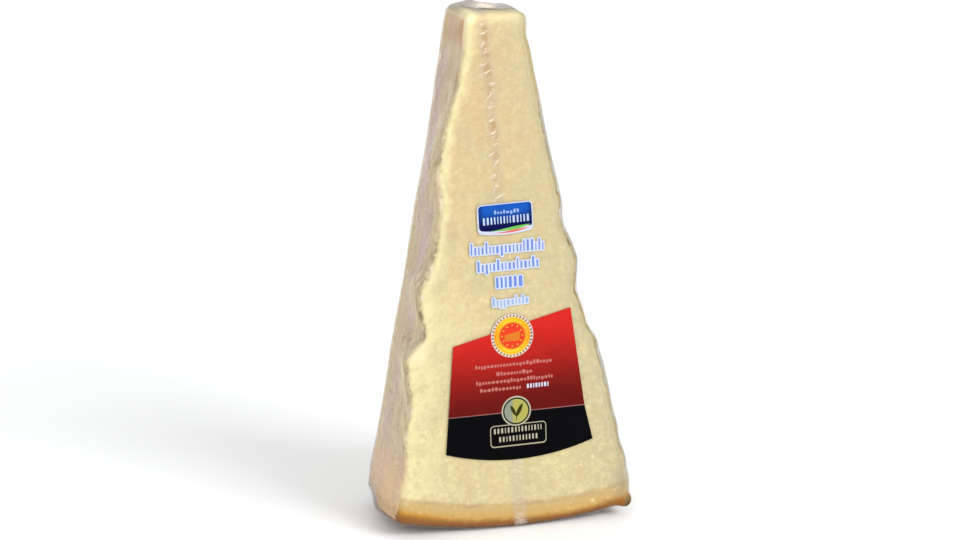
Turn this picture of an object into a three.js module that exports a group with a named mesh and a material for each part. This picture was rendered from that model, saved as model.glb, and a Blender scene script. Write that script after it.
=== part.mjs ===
// A wedge of hard grating cheese, shrink-wrapped in clear film, with the labels stuck on its front.
// It stands on its rind, the curved outer edge of the round it was cut from, with its narrow end up.
// Units are millimetres. +X is to the right of someone facing the front, +Y to the back, +Z up.
// The origin is on the ground, under the middle of the wedge's bounding box.
import * as THREE from 'three';

// ---- driving dimensions of the wedge ----
const HEIGHT = 213; // from the ground to the middle of the cut-off tip
const WHEEL_RADIUS = 210; // of the round, and so of the rind's arc
const STAND_X = 2; // where the rind's arc is lowest
const BARREL_RISE = 0.8; // how much higher the rind's front and back edges are than its middle
const STAND_FLAT = 0.45; // depth of the small flat spot that the rind is worn to
const BOTTOM_DEPTH = 50; // front to back, at the rind
const TOP_DEPTH = 30; // front to back, at the tip
const CORNER_RADIUS = 3; // of the four upright edges
const LEAST_RADIUS = 0.4; // of those edges, where the loops are drawn in over the rind and the tip
const RIND_EDGE_RADIUS = 2.5; // between the rind and the walls
const TIP_EDGE_RADIUS = 2.5; // between the tip and the walls
const RISE_FADE = 40; // height over which the rows bend from the rind's arc to level
const SIDE_RELIEF = 0.7; // depth of each low wave in the two broken side faces
// The two broken side faces have two low waves each; a wave has a length, and turns with the depth.
const WAVES = [{ length: 8, turn: 4, phases: 1 }, { length: 19, turn: -3, phases: 2 }];
const LEFT_PHASE = 0.6;
const RIGHT_PHASE = 2.1;
// They bulge at the foot, where the film is drawn round the rind.
const FOOT_BULGE = { rise: 1.8, z: 6, reach: 16 };

// The four upright edges run straight from the rind to the tip, but for their crags. Each crag is
// [height, how far it stands out, how far up and down it reaches]; a notch stands out by less than 0.
const EDGES = {
  frontLeft: {
    foot: -51.7,
    tip: -18.1,
    crags: [
      [199, -0.7, 7], [173, 1.9, 8], [163, 1.6, 7], [151, 2.8, 11], [131, -0.4, 4],
      [101, 3.7, 8], [93, 0.8, 4], [82, -2.0, 4], [73, 2.5, 5], [66, 3.6, 17],
      [57, -1.2, 5], [43, 1.6, 6], [20, -0.9, 9],
    ],
  },
  frontRight: {
    foot: 52.4,
    tip: 7.0,
    crags: [
      [210, 0.8, 6], [204, -1.1, 6], [190, -0.7, 8], [158, -1.7, 32], [127, -1.8, 6],
      [112, 0.7, 5], [98, -2.8, 9], [84, -1.3, 5], [78, 0.9, 5], [68, 0.7, 6],
      [56, 1.8, 16], [40, 1.3, 6], [26, 2.7, 8], [16, 1.7, 5], [7, 1.1, 4],
    ],
  },
  backLeft: {
    foot: -52.6,
    tip: -18.5,
    crags: [[204, 0.4, 9], [180, -0.4, 12], [158, -0.6, 22], [100, -0.3, 16], [20, 0.6, 7]],
  },
  backRight: {
    foot: 52.0,
    tip: 8.0,
    crags: [[150, -1.2, 26], [98, -1.8, 10], [60, 1.2, 14], [24, 1.6, 10]],
  },
};

// The film is gathered on the tip into a low fold: where it is, how high, and its two half widths.
const FOLD = { x: -9, y: 11, rise: 1.3, alongX: 7, alongY: 5 };
const TIP_TILT = 0.02; // rise of the tip towards the back, per millimetre

// ---- driving dimensions of the labels ----
const LABEL_GAP = 0.3; // between a label and the film, and between two labels
const LABEL_THICKNESS = 0.4;
const SEAL = { x: -0.5, z: 82, radius: 9 };
const BADGE = { x: -2.9, z: 130.5, width: 23.4, height: 11.8, radius: 1.8, turn: 0.03, bulge: 1.0 };
const LABEL = {
  topLeft: [-25.4, 79],
  topRight: [24.5, 92],
  rightKnee: [30.4, 50.6],
  bottomRight: [33.9, 35.8],
  bottomLeft: [-29, 34.2],
  arcRadius: 99, // of the bottom edge, which runs along with the rind
};

// ---- how finely the wedge and the labels' curves are divided ----
const FRONT_STEPS = 8;
const SIDE_STEPS = 6;
const CORNER_STEPS = 3;
const ROUNDING_STEPS = 3;
const WALL_ROWS = 46;
const RIND_RINGS = 7;
const TIP_RINGS = 3;
const BADGE_STEPS = 6;
const LABEL_STEPS = 12;

// ---- colours ----
const CHEESE_COLOUR = 0xead8a4;
const LABEL_COLOUR = 0xb3201c;
const BADGE_COLOUR = 0x1f4fa8;
const SEAL_COLOUR = 0xf4b428;
const FILM_ROUGHNESS = 0.35;
const PRINT_ROUGHNESS = 0.4;

const { lerp, smoothstep } = THREE.MathUtils;
// How far the front and the back lean in, per millimetre of height.
const LEAN = (BOTTOM_DEPTH - TOP_DEPTH) / 2 / HEIGHT;

const bell = (distance, reach) => Math.exp(-((distance / reach) ** 2));

// Where an upright edge is at a height: on its straight line, moved outwards by its crags.
function edgeX(edge, z) {
  const outwards = Math.sign(edge.foot);
  const relief = edge.crags.reduce(
    (sum, [height, out, reach]) => sum + out * bell(z - height, reach),
    0,
  );
  return lerp(edge.foot, edge.tip, z / HEIGHT) + outwards * relief;
}

// The rind: an arc of the wheel from left to right, a little barrelled from front to back, less
// the flat spot.
function rindRise(x, y) {
  const across = x - STAND_X;
  const arc = WHEEL_RADIUS - Math.sqrt(WHEEL_RADIUS ** 2 - across ** 2);
  const barrel = BARREL_RISE * (y / (BOTTOM_DEPTH / 2)) ** 2;
  return Math.max(0, arc + barrel - STAND_FLAT);
}

// The tip: level from left to right, rising a little towards the back, with the film's fold on it.
function tipRise(x, y) {
  return TIP_TILT * y + FOLD.rise * bell(x - FOLD.x, FOLD.alongX) * bell(y - FOLD.y, FOLD.alongY);
}

const CORNER_RISE = rindRise(EDGES.frontLeft.foot, BOTTOM_DEPTH / 2);
const rindShare = (level) => Math.max(0, 1 - level / RISE_FADE) ** 2;
const tipShare = (level) => Math.max(0, 1 - (HEIGHT - level) / RISE_FADE) ** 2;

// The height of a point of a row: the row's level, bent to the rind at the foot and to the tip at the head.
function levelToHeight(level, x, y) {
  return level + rindRise(x, y) * rindShare(level) + tipRise(x, y) * tipShare(level);
}

// The low waves of a side face and its bulge at the foot, nothing at its two upright edges.
function sideWave(share, z, phase) {
  const wave = WAVES.reduce(
    (sum, { length, turn, phases }) => sum + Math.sin(z / length + turn * share + phases * phase),
    0,
  );
  const bulge = FOOT_BULGE.rise * bell(z - FOOT_BULGE.z, FOOT_BULGE.reach);
  return (SIDE_RELIEF * wave + bulge) * Math.sin(Math.PI * share);
}

// The left and right face at a depth y: the shared height's two edges, joined by an eased line.
function faceX(front, back, y, halfDepth, z, phase) {
  const share = THREE.MathUtils.clamp((y + halfDepth) / (2 * halfDepth), 0, 1);
  const eased = smoothstep(share, 0, 1);
  return lerp(edgeX(front, z), edgeX(back, z), eased) + Math.sign(front.foot) * sideWave(share, z, phase);
}

// One closed loop round the wedge, anticlockwise from above, drawn in from the walls by an inset.
// It is a four-sided outline with rounded corners, given as [x, y] pairs.
function outline(level, inset) {
  const z = level + CORNER_RISE * rindShare(level);
  const halfDepth = BOTTOM_DEPTH / 2 - LEAN * level;
  const radius = Math.max(CORNER_RADIUS - inset, LEAST_RADIUS);
  const left = (y) => faceX(EDGES.frontLeft, EDGES.backLeft, y, halfDepth, z, LEFT_PHASE) + inset;
  const right = (y) => faceX(EDGES.frontRight, EDGES.backRight, y, halfDepth, z, RIGHT_PHASE) - inset;
  const reach = halfDepth - inset;
  const points = [];
  const corner = (face, sideways, upDown, from) => {
    for (let i = 0; i < CORNER_STEPS; i += 1) {
      const angle = from + ((i + 0.5) / CORNER_STEPS) * (Math.PI / 2);
      const y = upDown * (reach - radius) + radius * Math.sin(angle);
      points.push([face(y) + radius * (Math.cos(angle) - sideways), y]);
    }
  };
  const acrossFace = (y, from, to, flip) => {
    const start = from(y) + flip * radius;
    const end = to(y) - flip * radius;
    for (let i = 0; i <= FRONT_STEPS; i += 1) points.push([lerp(start, end, i / FRONT_STEPS), y]);
  };
  const alongSide = (face, start, end) => {
    for (let i = 0; i <= SIDE_STEPS; i += 1) {
      const y = lerp(start, end, i / SIDE_STEPS);
      points.push([face(y), y]);
    }
  };
  acrossFace(-reach, left, right, 1);
  corner(right, 1, -1, -Math.PI / 2);
  alongSide(right, -reach + radius, reach - radius);
  corner(right, 1, 1, 0);
  acrossFace(reach, right, left, -1);
  corner(left, -1, 1, Math.PI / 2);
  alongSide(left, reach - radius, -reach + radius);
  corner(left, -1, -1, Math.PI);
  return points;
}

// The loops from the middle of the rind, out, up the walls and in again over the tip.
function wedgeLoops() {
  const loops = [];
  const add = (level, inset, share) => {
    const middle = [level < HEIGHT / 2 ? STAND_X : (EDGES.frontLeft.tip + EDGES.frontRight.tip) / 2, 0];
    loops.push(
      outline(level, inset).map(([outerX, outerY]) => {
        const x = lerp(middle[0], outerX, share);
        const y = lerp(middle[1], outerY, share);
        return [x, y, levelToHeight(level, x, y)];
      }),
    );
  };
  const wallFoot = RIND_EDGE_RADIUS;
  const wallHead = HEIGHT - TIP_EDGE_RADIUS;
  for (let i = 1; i < RIND_RINGS; i += 1) add(0, RIND_EDGE_RADIUS, i / RIND_RINGS);
  for (let i = 0; i < ROUNDING_STEPS; i += 1) {
    const angle = ((i / ROUNDING_STEPS) * Math.PI) / 2;
    add(RIND_EDGE_RADIUS * (1 - Math.cos(angle)), RIND_EDGE_RADIUS * (1 - Math.sin(angle)), 1);
  }
  for (let i = 0; i <= WALL_ROWS; i += 1) add(lerp(wallFoot, wallHead, i / WALL_ROWS), 0, 1);
  for (let i = ROUNDING_STEPS - 1; i >= 0; i -= 1) {
    const angle = ((i / ROUNDING_STEPS) * Math.PI) / 2;
    add(HEIGHT - TIP_EDGE_RADIUS * (1 - Math.cos(angle)), TIP_EDGE_RADIUS * (1 - Math.sin(angle)), 1);
  }
  for (let i = TIP_RINGS - 1; i > 0; i -= 1) add(HEIGHT, TIP_EDGE_RADIUS, i / TIP_RINGS);
  return loops;
}

// Joins the loops into one closed skin, with a fan to a middle point at each end.
function skin(loops, footPoint, headPoint) {
  const around = loops[0].length;
  const positions = [...loops.flat(2), ...footPoint, ...headPoint];
  const foot = loops.length * around;
  const head = foot + 1;
  const indices = [];
  for (let i = 0; i < around; i += 1) {
    const next = (i + 1) % around;
    indices.push(foot, next, i);
    for (let row = 0; row < loops.length - 1; row += 1) {
      const a = row * around;
      const b = a + around;
      indices.push(a + i, a + next, b + next, a + i, b + next, b + i);
    }
    const last = (loops.length - 1) * around;
    indices.push(last + i, last + next, head);
  }
  const geometry = new THREE.BufferGeometry();
  geometry.setAttribute('position', new THREE.Float32BufferAttribute(positions, 3));
  geometry.setIndex(indices);
  geometry.computeVertexNormals();
  return geometry;
}

function wedgeGeometry() {
  const tipX = (EDGES.frontLeft.tip + EDGES.frontRight.tip) / 2;
  const footPoint = [STAND_X, 0, levelToHeight(0, STAND_X, 0)];
  const headPoint = [tipX, 0, levelToHeight(HEIGHT, tipX, 0)];
  return skin(wedgeLoops(), footPoint, headPoint);
}

// The badge: a rounded rectangle whose lower edge bows down a little.
function badgeShape() {
  const { width, height, radius, bulge } = BADGE;
  const right = width / 2;
  const top = height / 2;
  const shape = new THREE.Shape();
  shape.moveTo(-right, -top + radius);
  shape.quadraticCurveTo(-right, -top, -right + radius, -top);
  shape.quadraticCurveTo(0, -top - 2 * bulge, right - radius, -top);
  shape.quadraticCurveTo(right, -top, right, -top + radius);
  shape.lineTo(right, top - radius);
  shape.quadraticCurveTo(right, top, right - radius, top);
  shape.lineTo(-right + radius, top);
  shape.quadraticCurveTo(-right, top, -right, top - radius);
  return shape;
}

function sealShape() {
  const shape = new THREE.Shape();
  shape.absarc(SEAL.x, SEAL.z, SEAL.radius, 0, 2 * Math.PI, false);
  return shape;
}

// Where the label's slanting top edge meets the notch that is cut round the seal.
function notchEnds(radius) {
  const start = new THREE.Vector2(...LABEL.topLeft);
  const along = new THREE.Vector2(...LABEL.topRight).sub(start).normalize();
  const centre = new THREE.Vector2(SEAL.x, SEAL.z);
  const toCentre = centre.clone().sub(start);
  const middle = toCentre.dot(along);
  const half = Math.sqrt(radius ** 2 - toCentre.cross(along) ** 2);
  return [middle - half, middle + half].map((distance) => {
    const point = start.clone().addScaledVector(along, distance).sub(centre);
    return point.angle();
  });
}

// The main label: a slanting top with the notch, splayed sides, and a bottom edge bowed like the rind.
function labelShape() {
  const { topLeft, topRight, rightKnee, bottomRight, bottomLeft, arcRadius } = LABEL;
  const notchRadius = SEAL.radius + LABEL_GAP;
  const [leftAngle, rightAngle] = notchEnds(notchRadius);
  const from = new THREE.Vector2(...bottomLeft);
  const to = new THREE.Vector2(...bottomRight);
  const chord = to.clone().sub(from);
  const upwards = new THREE.Vector2(-chord.y, chord.x).normalize();
  const toCentre = Math.sqrt(arcRadius ** 2 - chord.lengthSq() / 4);
  const centre = from.clone().addScaledVector(chord, 0.5).addScaledVector(upwards, toCentre);
  const shape = new THREE.Shape();
  shape.moveTo(...topLeft);
  shape.lineTo(...bottomLeft);
  shape.absarc(centre.x, centre.y, arcRadius, from.sub(centre).angle(), to.sub(centre).angle(), false);
  shape.lineTo(...rightKnee);
  shape.lineTo(...topRight);
  shape.absarc(SEAL.x, SEAL.z, notchRadius, rightAngle, leftAngle, true);
  return shape;
}

// Lays a flat shape, drawn as seen from the front with height upwards, on the leaning front of the wedge.
function frontPlate(shape) {
  const geometry = new THREE.ExtrudeGeometry(shape, {
    depth: LABEL_THICKNESS,
    bevelEnabled: false,
    curveSegments: LABEL_STEPS,
  });
  const lean = Math.atan(LEAN);
  const rightwards = new THREE.Vector3(1, 0, 0);
  const upFront = new THREE.Vector3(0, Math.tan(lean), 1);
  const outwards = new THREE.Vector3(0, -Math.cos(lean), Math.sin(lean));
  const foot = outwards.clone().multiplyScalar(LABEL_GAP).add(new THREE.Vector3(0, -BOTTOM_DEPTH / 2, 0));
  geometry.applyMatrix4(new THREE.Matrix4().makeBasis(rightwards, upFront, outwards).setPosition(foot));
  return geometry;
}

// The badge's outline, turned a little and moved to its place on the front.
function turnedBadge() {
  const points = badgeShape().getPoints(BADGE_STEPS);
  const origin = new THREE.Vector2(0, 0);
  const place = new THREE.Vector2(BADGE.x, BADGE.z);
  const moved = points.map((point) => point.rotateAround(origin, BADGE.turn).add(place));
  return new THREE.Shape(moved);
}

function piece(name, geometry, color, roughness) {
  const material = new THREE.MeshStandardMaterial({ color, roughness, metalness: 0 });
  const mesh = new THREE.Mesh(geometry, material);
  mesh.name = name;
  return mesh;
}

const wedge = new THREE.Group();
wedge.add(piece('wrapped_wedge', wedgeGeometry(), CHEESE_COLOUR, FILM_ROUGHNESS));
wedge.add(piece('front_label', frontPlate(labelShape()), LABEL_COLOUR, PRINT_ROUGHNESS));
wedge.add(piece('badge_label', frontPlate(turnedBadge()), BADGE_COLOUR, PRINT_ROUGHNESS));
wedge.add(piece('round_seal', frontPlate(sealShape()), SEAL_COLOUR, PRINT_ROUGHNESS));

export default wedge;
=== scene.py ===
"""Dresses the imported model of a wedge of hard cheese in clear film, with its labels, for a studio picture.

The file is laid out as an add-on: property groups hold the sizes and colours, one operator makes each
piece or group of like pieces, and a panel in the sidebar lists them. Shapes are worked out in
millimetres, as surfaces of two parameters, and put into their meshes in metres.
"""

import math
from collections import namedtuple

import bpy
import numpy as np
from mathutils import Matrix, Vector


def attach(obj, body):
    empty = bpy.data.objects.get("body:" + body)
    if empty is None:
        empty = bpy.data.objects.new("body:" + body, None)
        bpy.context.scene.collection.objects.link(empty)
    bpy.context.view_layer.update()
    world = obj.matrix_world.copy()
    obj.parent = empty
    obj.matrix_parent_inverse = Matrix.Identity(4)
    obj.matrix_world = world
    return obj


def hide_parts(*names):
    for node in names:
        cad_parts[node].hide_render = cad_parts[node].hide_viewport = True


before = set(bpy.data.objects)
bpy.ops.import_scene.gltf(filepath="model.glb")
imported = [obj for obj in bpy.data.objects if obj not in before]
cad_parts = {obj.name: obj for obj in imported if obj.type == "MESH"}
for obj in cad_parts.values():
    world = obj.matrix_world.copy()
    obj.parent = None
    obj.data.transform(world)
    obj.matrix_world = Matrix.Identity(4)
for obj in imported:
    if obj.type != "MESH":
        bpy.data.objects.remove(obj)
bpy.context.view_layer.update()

bl_info = {
    "name": "Wrapped Cheese Wedge",
    "version": (1, 0, 0),
    "blender": (4, 5, 0),
    "location": "3D View > Sidebar > Cheese",
    "description": "Builds a film-wrapped wedge of hard cheese round its packed solids",
    "category": "Add Mesh",
}

MM = 0.001


def srgb(red, green, blue):
    """A colour given as 0 to 255 display values, as the linear values that shaders take."""
    shares = np.array([red, green, blue]) / 255
    linear = np.where(shares <= 0.04045, shares / 12.92, ((shares + 0.055) / 1.055) ** 2.4)
    return tuple(float(value) for value in linear)


def length(name, description, default_mm, **more):
    """A length property whose default is given in millimetres."""
    return bpy.props.FloatProperty(
        name=name, description=description, default=default_mm * MM, unit="LENGTH", precision=5, **more
    )


def tint(name, description, red, green, blue):
    """A colour property whose default is given as 0 to 255 display values."""
    return bpy.props.FloatVectorProperty(
        name=name, description=description, default=srgb(red, green, blue), subtype="COLOR", min=0.0, max=1.0
    )


def number(name, description, default, **more):
    """A plain number property."""
    return bpy.props.FloatProperty(name=name, description=description, default=default, **more)


def position(name, description, default):
    """A property for a place, in metres."""
    return bpy.props.FloatVectorProperty(
        name=name, description=description, default=default, subtype="XYZ", unit="LENGTH"
    )


# ---------------------------------------------------------------------------------------------------
# Property groups


class WedgeSizes(bpy.types.PropertyGroup):
    """Sizes of the wedge that its film and its cheese share."""

    wheel_radius: length("Wheel radius", "Radius of the round that the wedge was cut from", 210)
    stand_x: length("Stand", "Where from left to right the rind's arc is lowest", 2)
    barrel_rise: length("Barrel", "How much higher the rind's front and back edges are", 0.8)
    stand_flat: length("Flat spot", "Depth of the flat spot on the rind", 0.45)
    bottom_depth: length("Depth at the rind", "Front to back at the rind", 50)
    top_depth: length("Depth at the tip", "Front to back at the tip", 30)
    corner_radius: length("Corner radius", "Radius of the four upright edges", 3)
    rind_edge: length("Rind edge radius", "Radius between the rind and the walls", 2.5)
    tip_edge: length("Tip edge radius", "Radius between the tip and the walls", 2.5)
    side_relief: length("Side waves", "Depth of the low waves in the two broken sides", 0.7)
    foot_bulge: length("Foot bulge", "How far the film stands out at the foot of the two sides", 1.8)


class CheeseLook(bpy.types.PropertyGroup):
    """Relief and colours of the cheese and its rind."""

    gap: length("Gap", "Least gap between the cheese and its film", 0.3)
    rind_curl: length("Rind curl", "How much more than its film the cheese is rounded at the rind", 0.5)
    crag_depth: length("Crags", "Depth of the crags in the two broken sides", 0.9)
    chip_depth: length("Chips", "Depth of the chips along the edges of the two broken sides", 0.75)
    rind_left: length("Rind, left", "Thickness of the rind's dark band at its left end", 5.6)
    rind_right: length("Rind, right", "Thickness of the rind's dark band at its right end", 4.8)
    ripe_left: length("Ripe zone, left", "Height of the darker zone over the rind at its left end", 10.8)
    ripe_right: length("Ripe zone, right", "Height of the darker zone over the rind at its right end", 10.0)
    paste: tint("Paste", "Main colour of the cut paste", 210, 195, 147)
    # This colour is the paste's own paler tone, and along the top edge it also paints a highlight.
    pale_paste_and_highlight: tint("Pale paste", "Colour along the left edge of the cut", 230, 221, 170)
    paste_warm: tint("Warm paste", "Colour of the warmer patches", 200, 173, 124)
    # This colour is the paste's own greener tone, and next to the right edge it also paints shade.
    green_paste_and_shade: tint("Green paste", "Colour along the right edge of the cut", 188, 179, 144)
    # This colour is the crystals' own, and it also paints light on the break in the front left edge.
    crystal_and_lit_notch: tint("Crystals", "Colour of the small crystals in the paste", 234, 220, 178)
    ripe: tint("Ripe zone", "Colour of the darker zone above the rind", 188, 154, 88)
    ripe_line: tint("Ripe line", "Colour of the line at the top of that zone", 159, 115, 64)
    side: tint("Broken sides", "Colour of the broken sides", 234, 216, 188)
    blush: tint("Blush", "Colour of the blotches at the foot of the broken sides", 252, 214, 168)
    tip: tint("Tip", "Colour of the broken sides next to the tip", 206, 161, 106)
    # This colour paints the shade in crags, chips, crumbs and on the right corner; it is also the rind's own
    # darker mottle.
    pit: tint("Pits", "Colour inside the crags and chips", 112, 94, 52)
    rind_brown: tint("Brown rind", "Colour of the rind's band away from its left end", 196, 155, 82)
    rind: tint("Rind", "Colour of the left end of the rind's band", 188, 134, 0)
    rind_dark: tint("Dark rind", "Colour of the outer skin of the rind", 130, 80, 22)
    # Painted shade at the right end of the zone above the rind, by the front right corner.
    corner_shade: tint("Dull end", "Colour that dulls the right end of the zone above the rind", 124, 121, 105)
    bare_rind: tint("Bare rind", "Colour of the lump of bare rind at the front right corner", 63, 33, 0)


class FilmLook(bpy.types.PropertyGroup):
    """Creases and clearness of the film."""

    crease: length("Crease", "Height of the film's tension creases", 0.12)
    seam_width: length("Seam width", "Width of the lapped seam down the front", 12)
    seam_top: length("Seam at the tip", "Where from left to right the seam meets the tip", -11.2)
    seam_foot: length("Seam at the rind", "Where from left to right the seam meets the rind", 2.9)
    seam_lift: length("Seam lift", "How far the seam stands off the film", 0.12)
    crinkle: length("Crinkle", "Height of the seam's crinkles", 0.22)
    haze: number("Haze", "How much the film hides head on", 0.02, min=0.0, max=1.0)
    # How much painted reflection and shade the film shows on the two broken sides.
    veil_and_reflection: number("Veil", "How much more the film hides on the two broken sides", 0.3, min=0.0, max=1.0)
    film: tint("Film", "Colour of what the film scatters back", 214, 212, 212)
    # The mauve, olive and green films are painted reflection and shade on the broken sides.
    mauve: tint("Mauve film", "Colour of what the film scatters back on the two broken sides", 218, 191, 202)
    olive: tint("Olive film", "Colour of the duller bands of the film on the two broken sides", 228, 213, 178)
    sage: tint("Green film", "Colour of what the film scatters back on the right side", 176, 176, 146)
    grey: tint("Grey film", "Colour of the gathered film on the tip and under the rind", 196, 190, 188)
    glint: tint("Glints", "Colour of the light caught by crinkles", 244, 228, 196)
    # Painted shade between the seam's crinkles and on the film along the foot of the rind.
    shade: tint("Crinkle shade", "Colour of the film between crinkles", 176, 140, 98)


class LabelLook(bpy.types.PropertyGroup):
    """Colours of the printed labels."""

    red: tint("Red", "Top of the main label", 181, 34, 27)
    red_dark: tint("Dark red", "Foot of the main label's red field", 86, 15, 12)
    black: tint("Black", "Lower field of the main label", 2, 2, 4)
    rule: tint("Rule", "Thin line between the red and the black field", 140, 96, 93)
    blue: tint("Blue", "Upper side of the badge", 20, 74, 158)
    navy: tint("Navy", "Lower side of the badge", 6, 9, 62)
    word: tint("Word bars", "Bars that stand for words on the film", 95, 120, 185)
    pale_word: tint("Pale word bars", "Bars of the last row on the film", 125, 152, 192)
    pale_blue: tint("Pale blue", "Large bars of the badge", 164, 177, 201)
    white: tint("White", "Borders and surrounds", 179, 186, 201)
    green: tint("Green", "Upper stripe of the badge", 99, 162, 69)
    coral: tint("Coral", "Lower stripe of the badge", 198, 93, 82)
    small: tint("Small print", "Bars that stand for small print on the main label", 167, 98, 91)
    yellow: tint("Yellow", "Band of the seal", 221, 172, 37)
    amber: tint("Amber", "Thin rings and marks of the seal", 189, 106, 32)
    vermilion: tint("Vermilion", "Middle of the seal", 198, 54, 32)
    cream: tint("Cream", "Emblem's ring, frame and bars", 159, 155, 133)
    gold: tint("Gold", "Emblem's disc", 152, 147, 76)
    steel: tint("Steel", "Left side of the emblem's disc", 125, 130, 115)
    olive: tint("Olive", "Emblem's leaves", 49, 45, 13)
    tick: tint("Ticks", "Short dark marks round the seal", 106, 69, 28)


class StageLook(bpy.types.PropertyGroup):
    """Camera, floor and lights."""

    lens: number("Lens", "Focal length of the camera, in millimetres", 77.36)
    camera_at: position("Camera", "Where the camera stands", (-0.2364, -0.7969, 0.303))
    camera_to: position("Aim", "The point that the camera looks at", (-0.0079, 0.0, 0.105))
    floor: tint("Floor", "Colour of the floor", 242, 243, 244)
    sky: number("Sky", "Strength of the even white light from all round", 0.77, min=0.0)


GROUPS = {
    "wedge_sizes": WedgeSizes,
    "cheese_look": CheeseLook,
    "film_look": FilmLook,
    "label_look": LabelLook,
    "stage_look": StageLook,
}


def look(name):
    """The scene's property group of that name."""
    return getattr(bpy.context.scene, name)


def mm(group, name):
    """A length of a property group, in millimetres."""
    return getattr(look(group), name) / MM


# ---------------------------------------------------------------------------------------------------
# The wedge's form, in millimetres

Edge = namedtuple("Edge", "foot tip crags")

# The four upright edges run straight from the rind to the tip, but for their crags. Each crag is
# (height, how far it stands out, how far up and down it reaches); a notch stands out by less than 0.
EDGES = {
    "front_left": Edge(
        -51.7,
        -18.1,
        (
            (199, -0.7, 7), (173, 1.9, 8), (163, 1.6, 7), (151, 2.8, 11), (131, -0.4, 4), (101, 3.7, 8),
            (93, 0.8, 4), (82, -1.3, 4), (73, 2.5, 5), (66, 3.6, 17), (57, -1.2, 5), (43, 1.6, 6),
            (20, -0.9, 9),
        ),
    ),
    "front_right": Edge(
        52.4,
        7.0,
        (
            (210, 0.8, 6), (204, -1.1, 6), (190, -0.7, 8), (158, -1.7, 32), (127, -1.8, 6), (112, 0.7, 5),
            (98, -2.8, 9), (84, -1.3, 5), (78, 0.9, 5), (68, 0.7, 6), (56, 1.8, 16), (40, 1.3, 6),
            (26, 2.7, 8), (16, 1.7, 5), (7, 1.1, 4),
        ),
    ),
    "back_left": Edge(
        -52.6,
        -18.5,
        ((204, 0.4, 9), (180, -0.4, 12), (158, -0.6, 22), (100, -0.3, 16), (20, 0.6, 7)),
    ),
    "back_right": Edge(52.0, 8.0, ((150, -1.2, 26), (98, -1.8, 10), (60, 1.2, 14), (24, 1.6, 10))),
}

# Where the cheese falls short of its film: the film bridges these notches of the four edges.
NOTCHES = {
    "front_left": ((134, 0.2, 7), (84, 0.3, 6)),
    "front_right": ((171, 0.2, 8), (121, 0.3, 6), (84, 0.3, 6)),
    "back_right": ((130, 0.3, 12), (84, 0.3, 10)),
}
# Crags in the front edges: how high they are, how deep, how far they reach, and how dark the shade painted in
# them is.
PITS = {
    "front_left": (
        (137.4, 0.3, 1.3, 0.5), (133.1, 0.4, 1.4, 0.5), (121.0, 0.5, 1.6, 0.5), (114.6, 0.8, 1.6, 0.7),
        (92.0, 0.8, 2.5, 0.8), (84.4, 0.8, 2.3, 0.7), (70.0, 0.5, 1.5, 0.5), (64.0, 0.6, 1.5, 0.6),
        (58.7, 0.7, 2.0, 0.6), (53.6, 0.7, 1.6, 0.6), (197.0, 0.3, 1.8, 0.5), (185.0, 0.4, 1.4, 0.3),
    ),
    "front_right": (
        (175.8, 0.4, 1.3, 0.8), (171.4, 0.6, 1.5, 0.9), (165.4, 0.4, 1.6, 0.8), (134.1, 0.6, 1.3, 0.8),
        (123.3, 0.6, 1.2, 0.8), (119.1, 0.8, 1.7, 1.0), (101.9, 0.5, 1.0, 0.5), (90.8, 0.4, 1.1, 0.7),
        (83.5, 0.5, 1.2, 0.6),
    ),
}
# How far behind the front face, and how far to the left of the side face, the middles of those crags lie.
PIT_MIDDLES = {"front_left": (2.0, 0.0), "front_right": (1.0, 0.2)}

BAND_NORMAL = (0.961, -0.276, -0.167)  # of the upright planes that the bands of the side film's painted reflection, and of its relief, follow
LAYER_DRIFT = 0.02  # how much faster the bands change across than upwards
HEIGHT = 213.0  # from the ground to the middle of the cut-off tip
FRONT_SLOPE = 0.047  # how far the front face leans back for each millimetre of height
LIT_NOTCH = {"at": (-41.0, -20.0, 77.5), "reach": 5.5}  # a break on the front left edge, made paler with painted light
KNOB = {"at": (49.2, -22.8, 6.0), "reach": 3.1, "out": 2.0}  # a lump of bare rind at the front right corner
HEEL = {"at": (-49.5, -3.0, 6.5), "reach": 14.0, "out": 2.3}  # where the left side bellies out at its foot
FOLD = {"x": -9.0, "y": 11.0, "rise": 1.3, "along_x": 7.0, "along_y": 5.0}  # the film's gather on the tip
TIP_TILT = 0.02  # rise of the tip towards the back
RISE_FADE = 40.0  # height over which the rows bend from the rind's arc to level
CROWDING = 0.1  # how much closer together the stations of a face lie next to its edges
BULGE_Z, BULGE_REACH = 6.0, 16.0  # where the foot bulge is strongest, and how far it reaches
GRAIN_DEPTH = 0.05  # of the finest relief of the cheese
PUCKERS, GLINTS = 26, 9  # how many creases with painted highlights the film has on both sides, and more on the left one
PUCKER_HEIGHTS = (187, 183, 172, 24, 14, 100, 62)  # about which heights the former lie
SEAM_GAP = 0.02  # between the film and the seam's lowest parts
PALE_STROKES, DARK_STROKES = 240, 320  # how many fine strokes of painted highlight and of painted shade lie between the seam's crinkles
TIP_CLEARS = (207, 211)  # heights between which the front's film turns clear towards the tip
CRINKLES_START = (87, 91)  # heights between which the seam's crinkles set in, over the main label
CRINKLES_FULL = (135.5, 137.5)  # and between which they grow to their full strength, over the badge
LANE_ENDS = (30, 36)  # heights between which the pale lane of the seam ends, under the main label
GATHER = {"half_width": 12.6, "half_depth": 14.3, "drop": 1.6}  # the sheet on the tip and its turned-down rim
UNDERSIDE = {"half_width": 17, "half_depth": 13}  # the sheet under the rind
LATTICE_FACTORS = (374761393, 668265263, 1442695041)  # large odd numbers that scatter the noise's cells
SEED_FACTOR = 974634777

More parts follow.
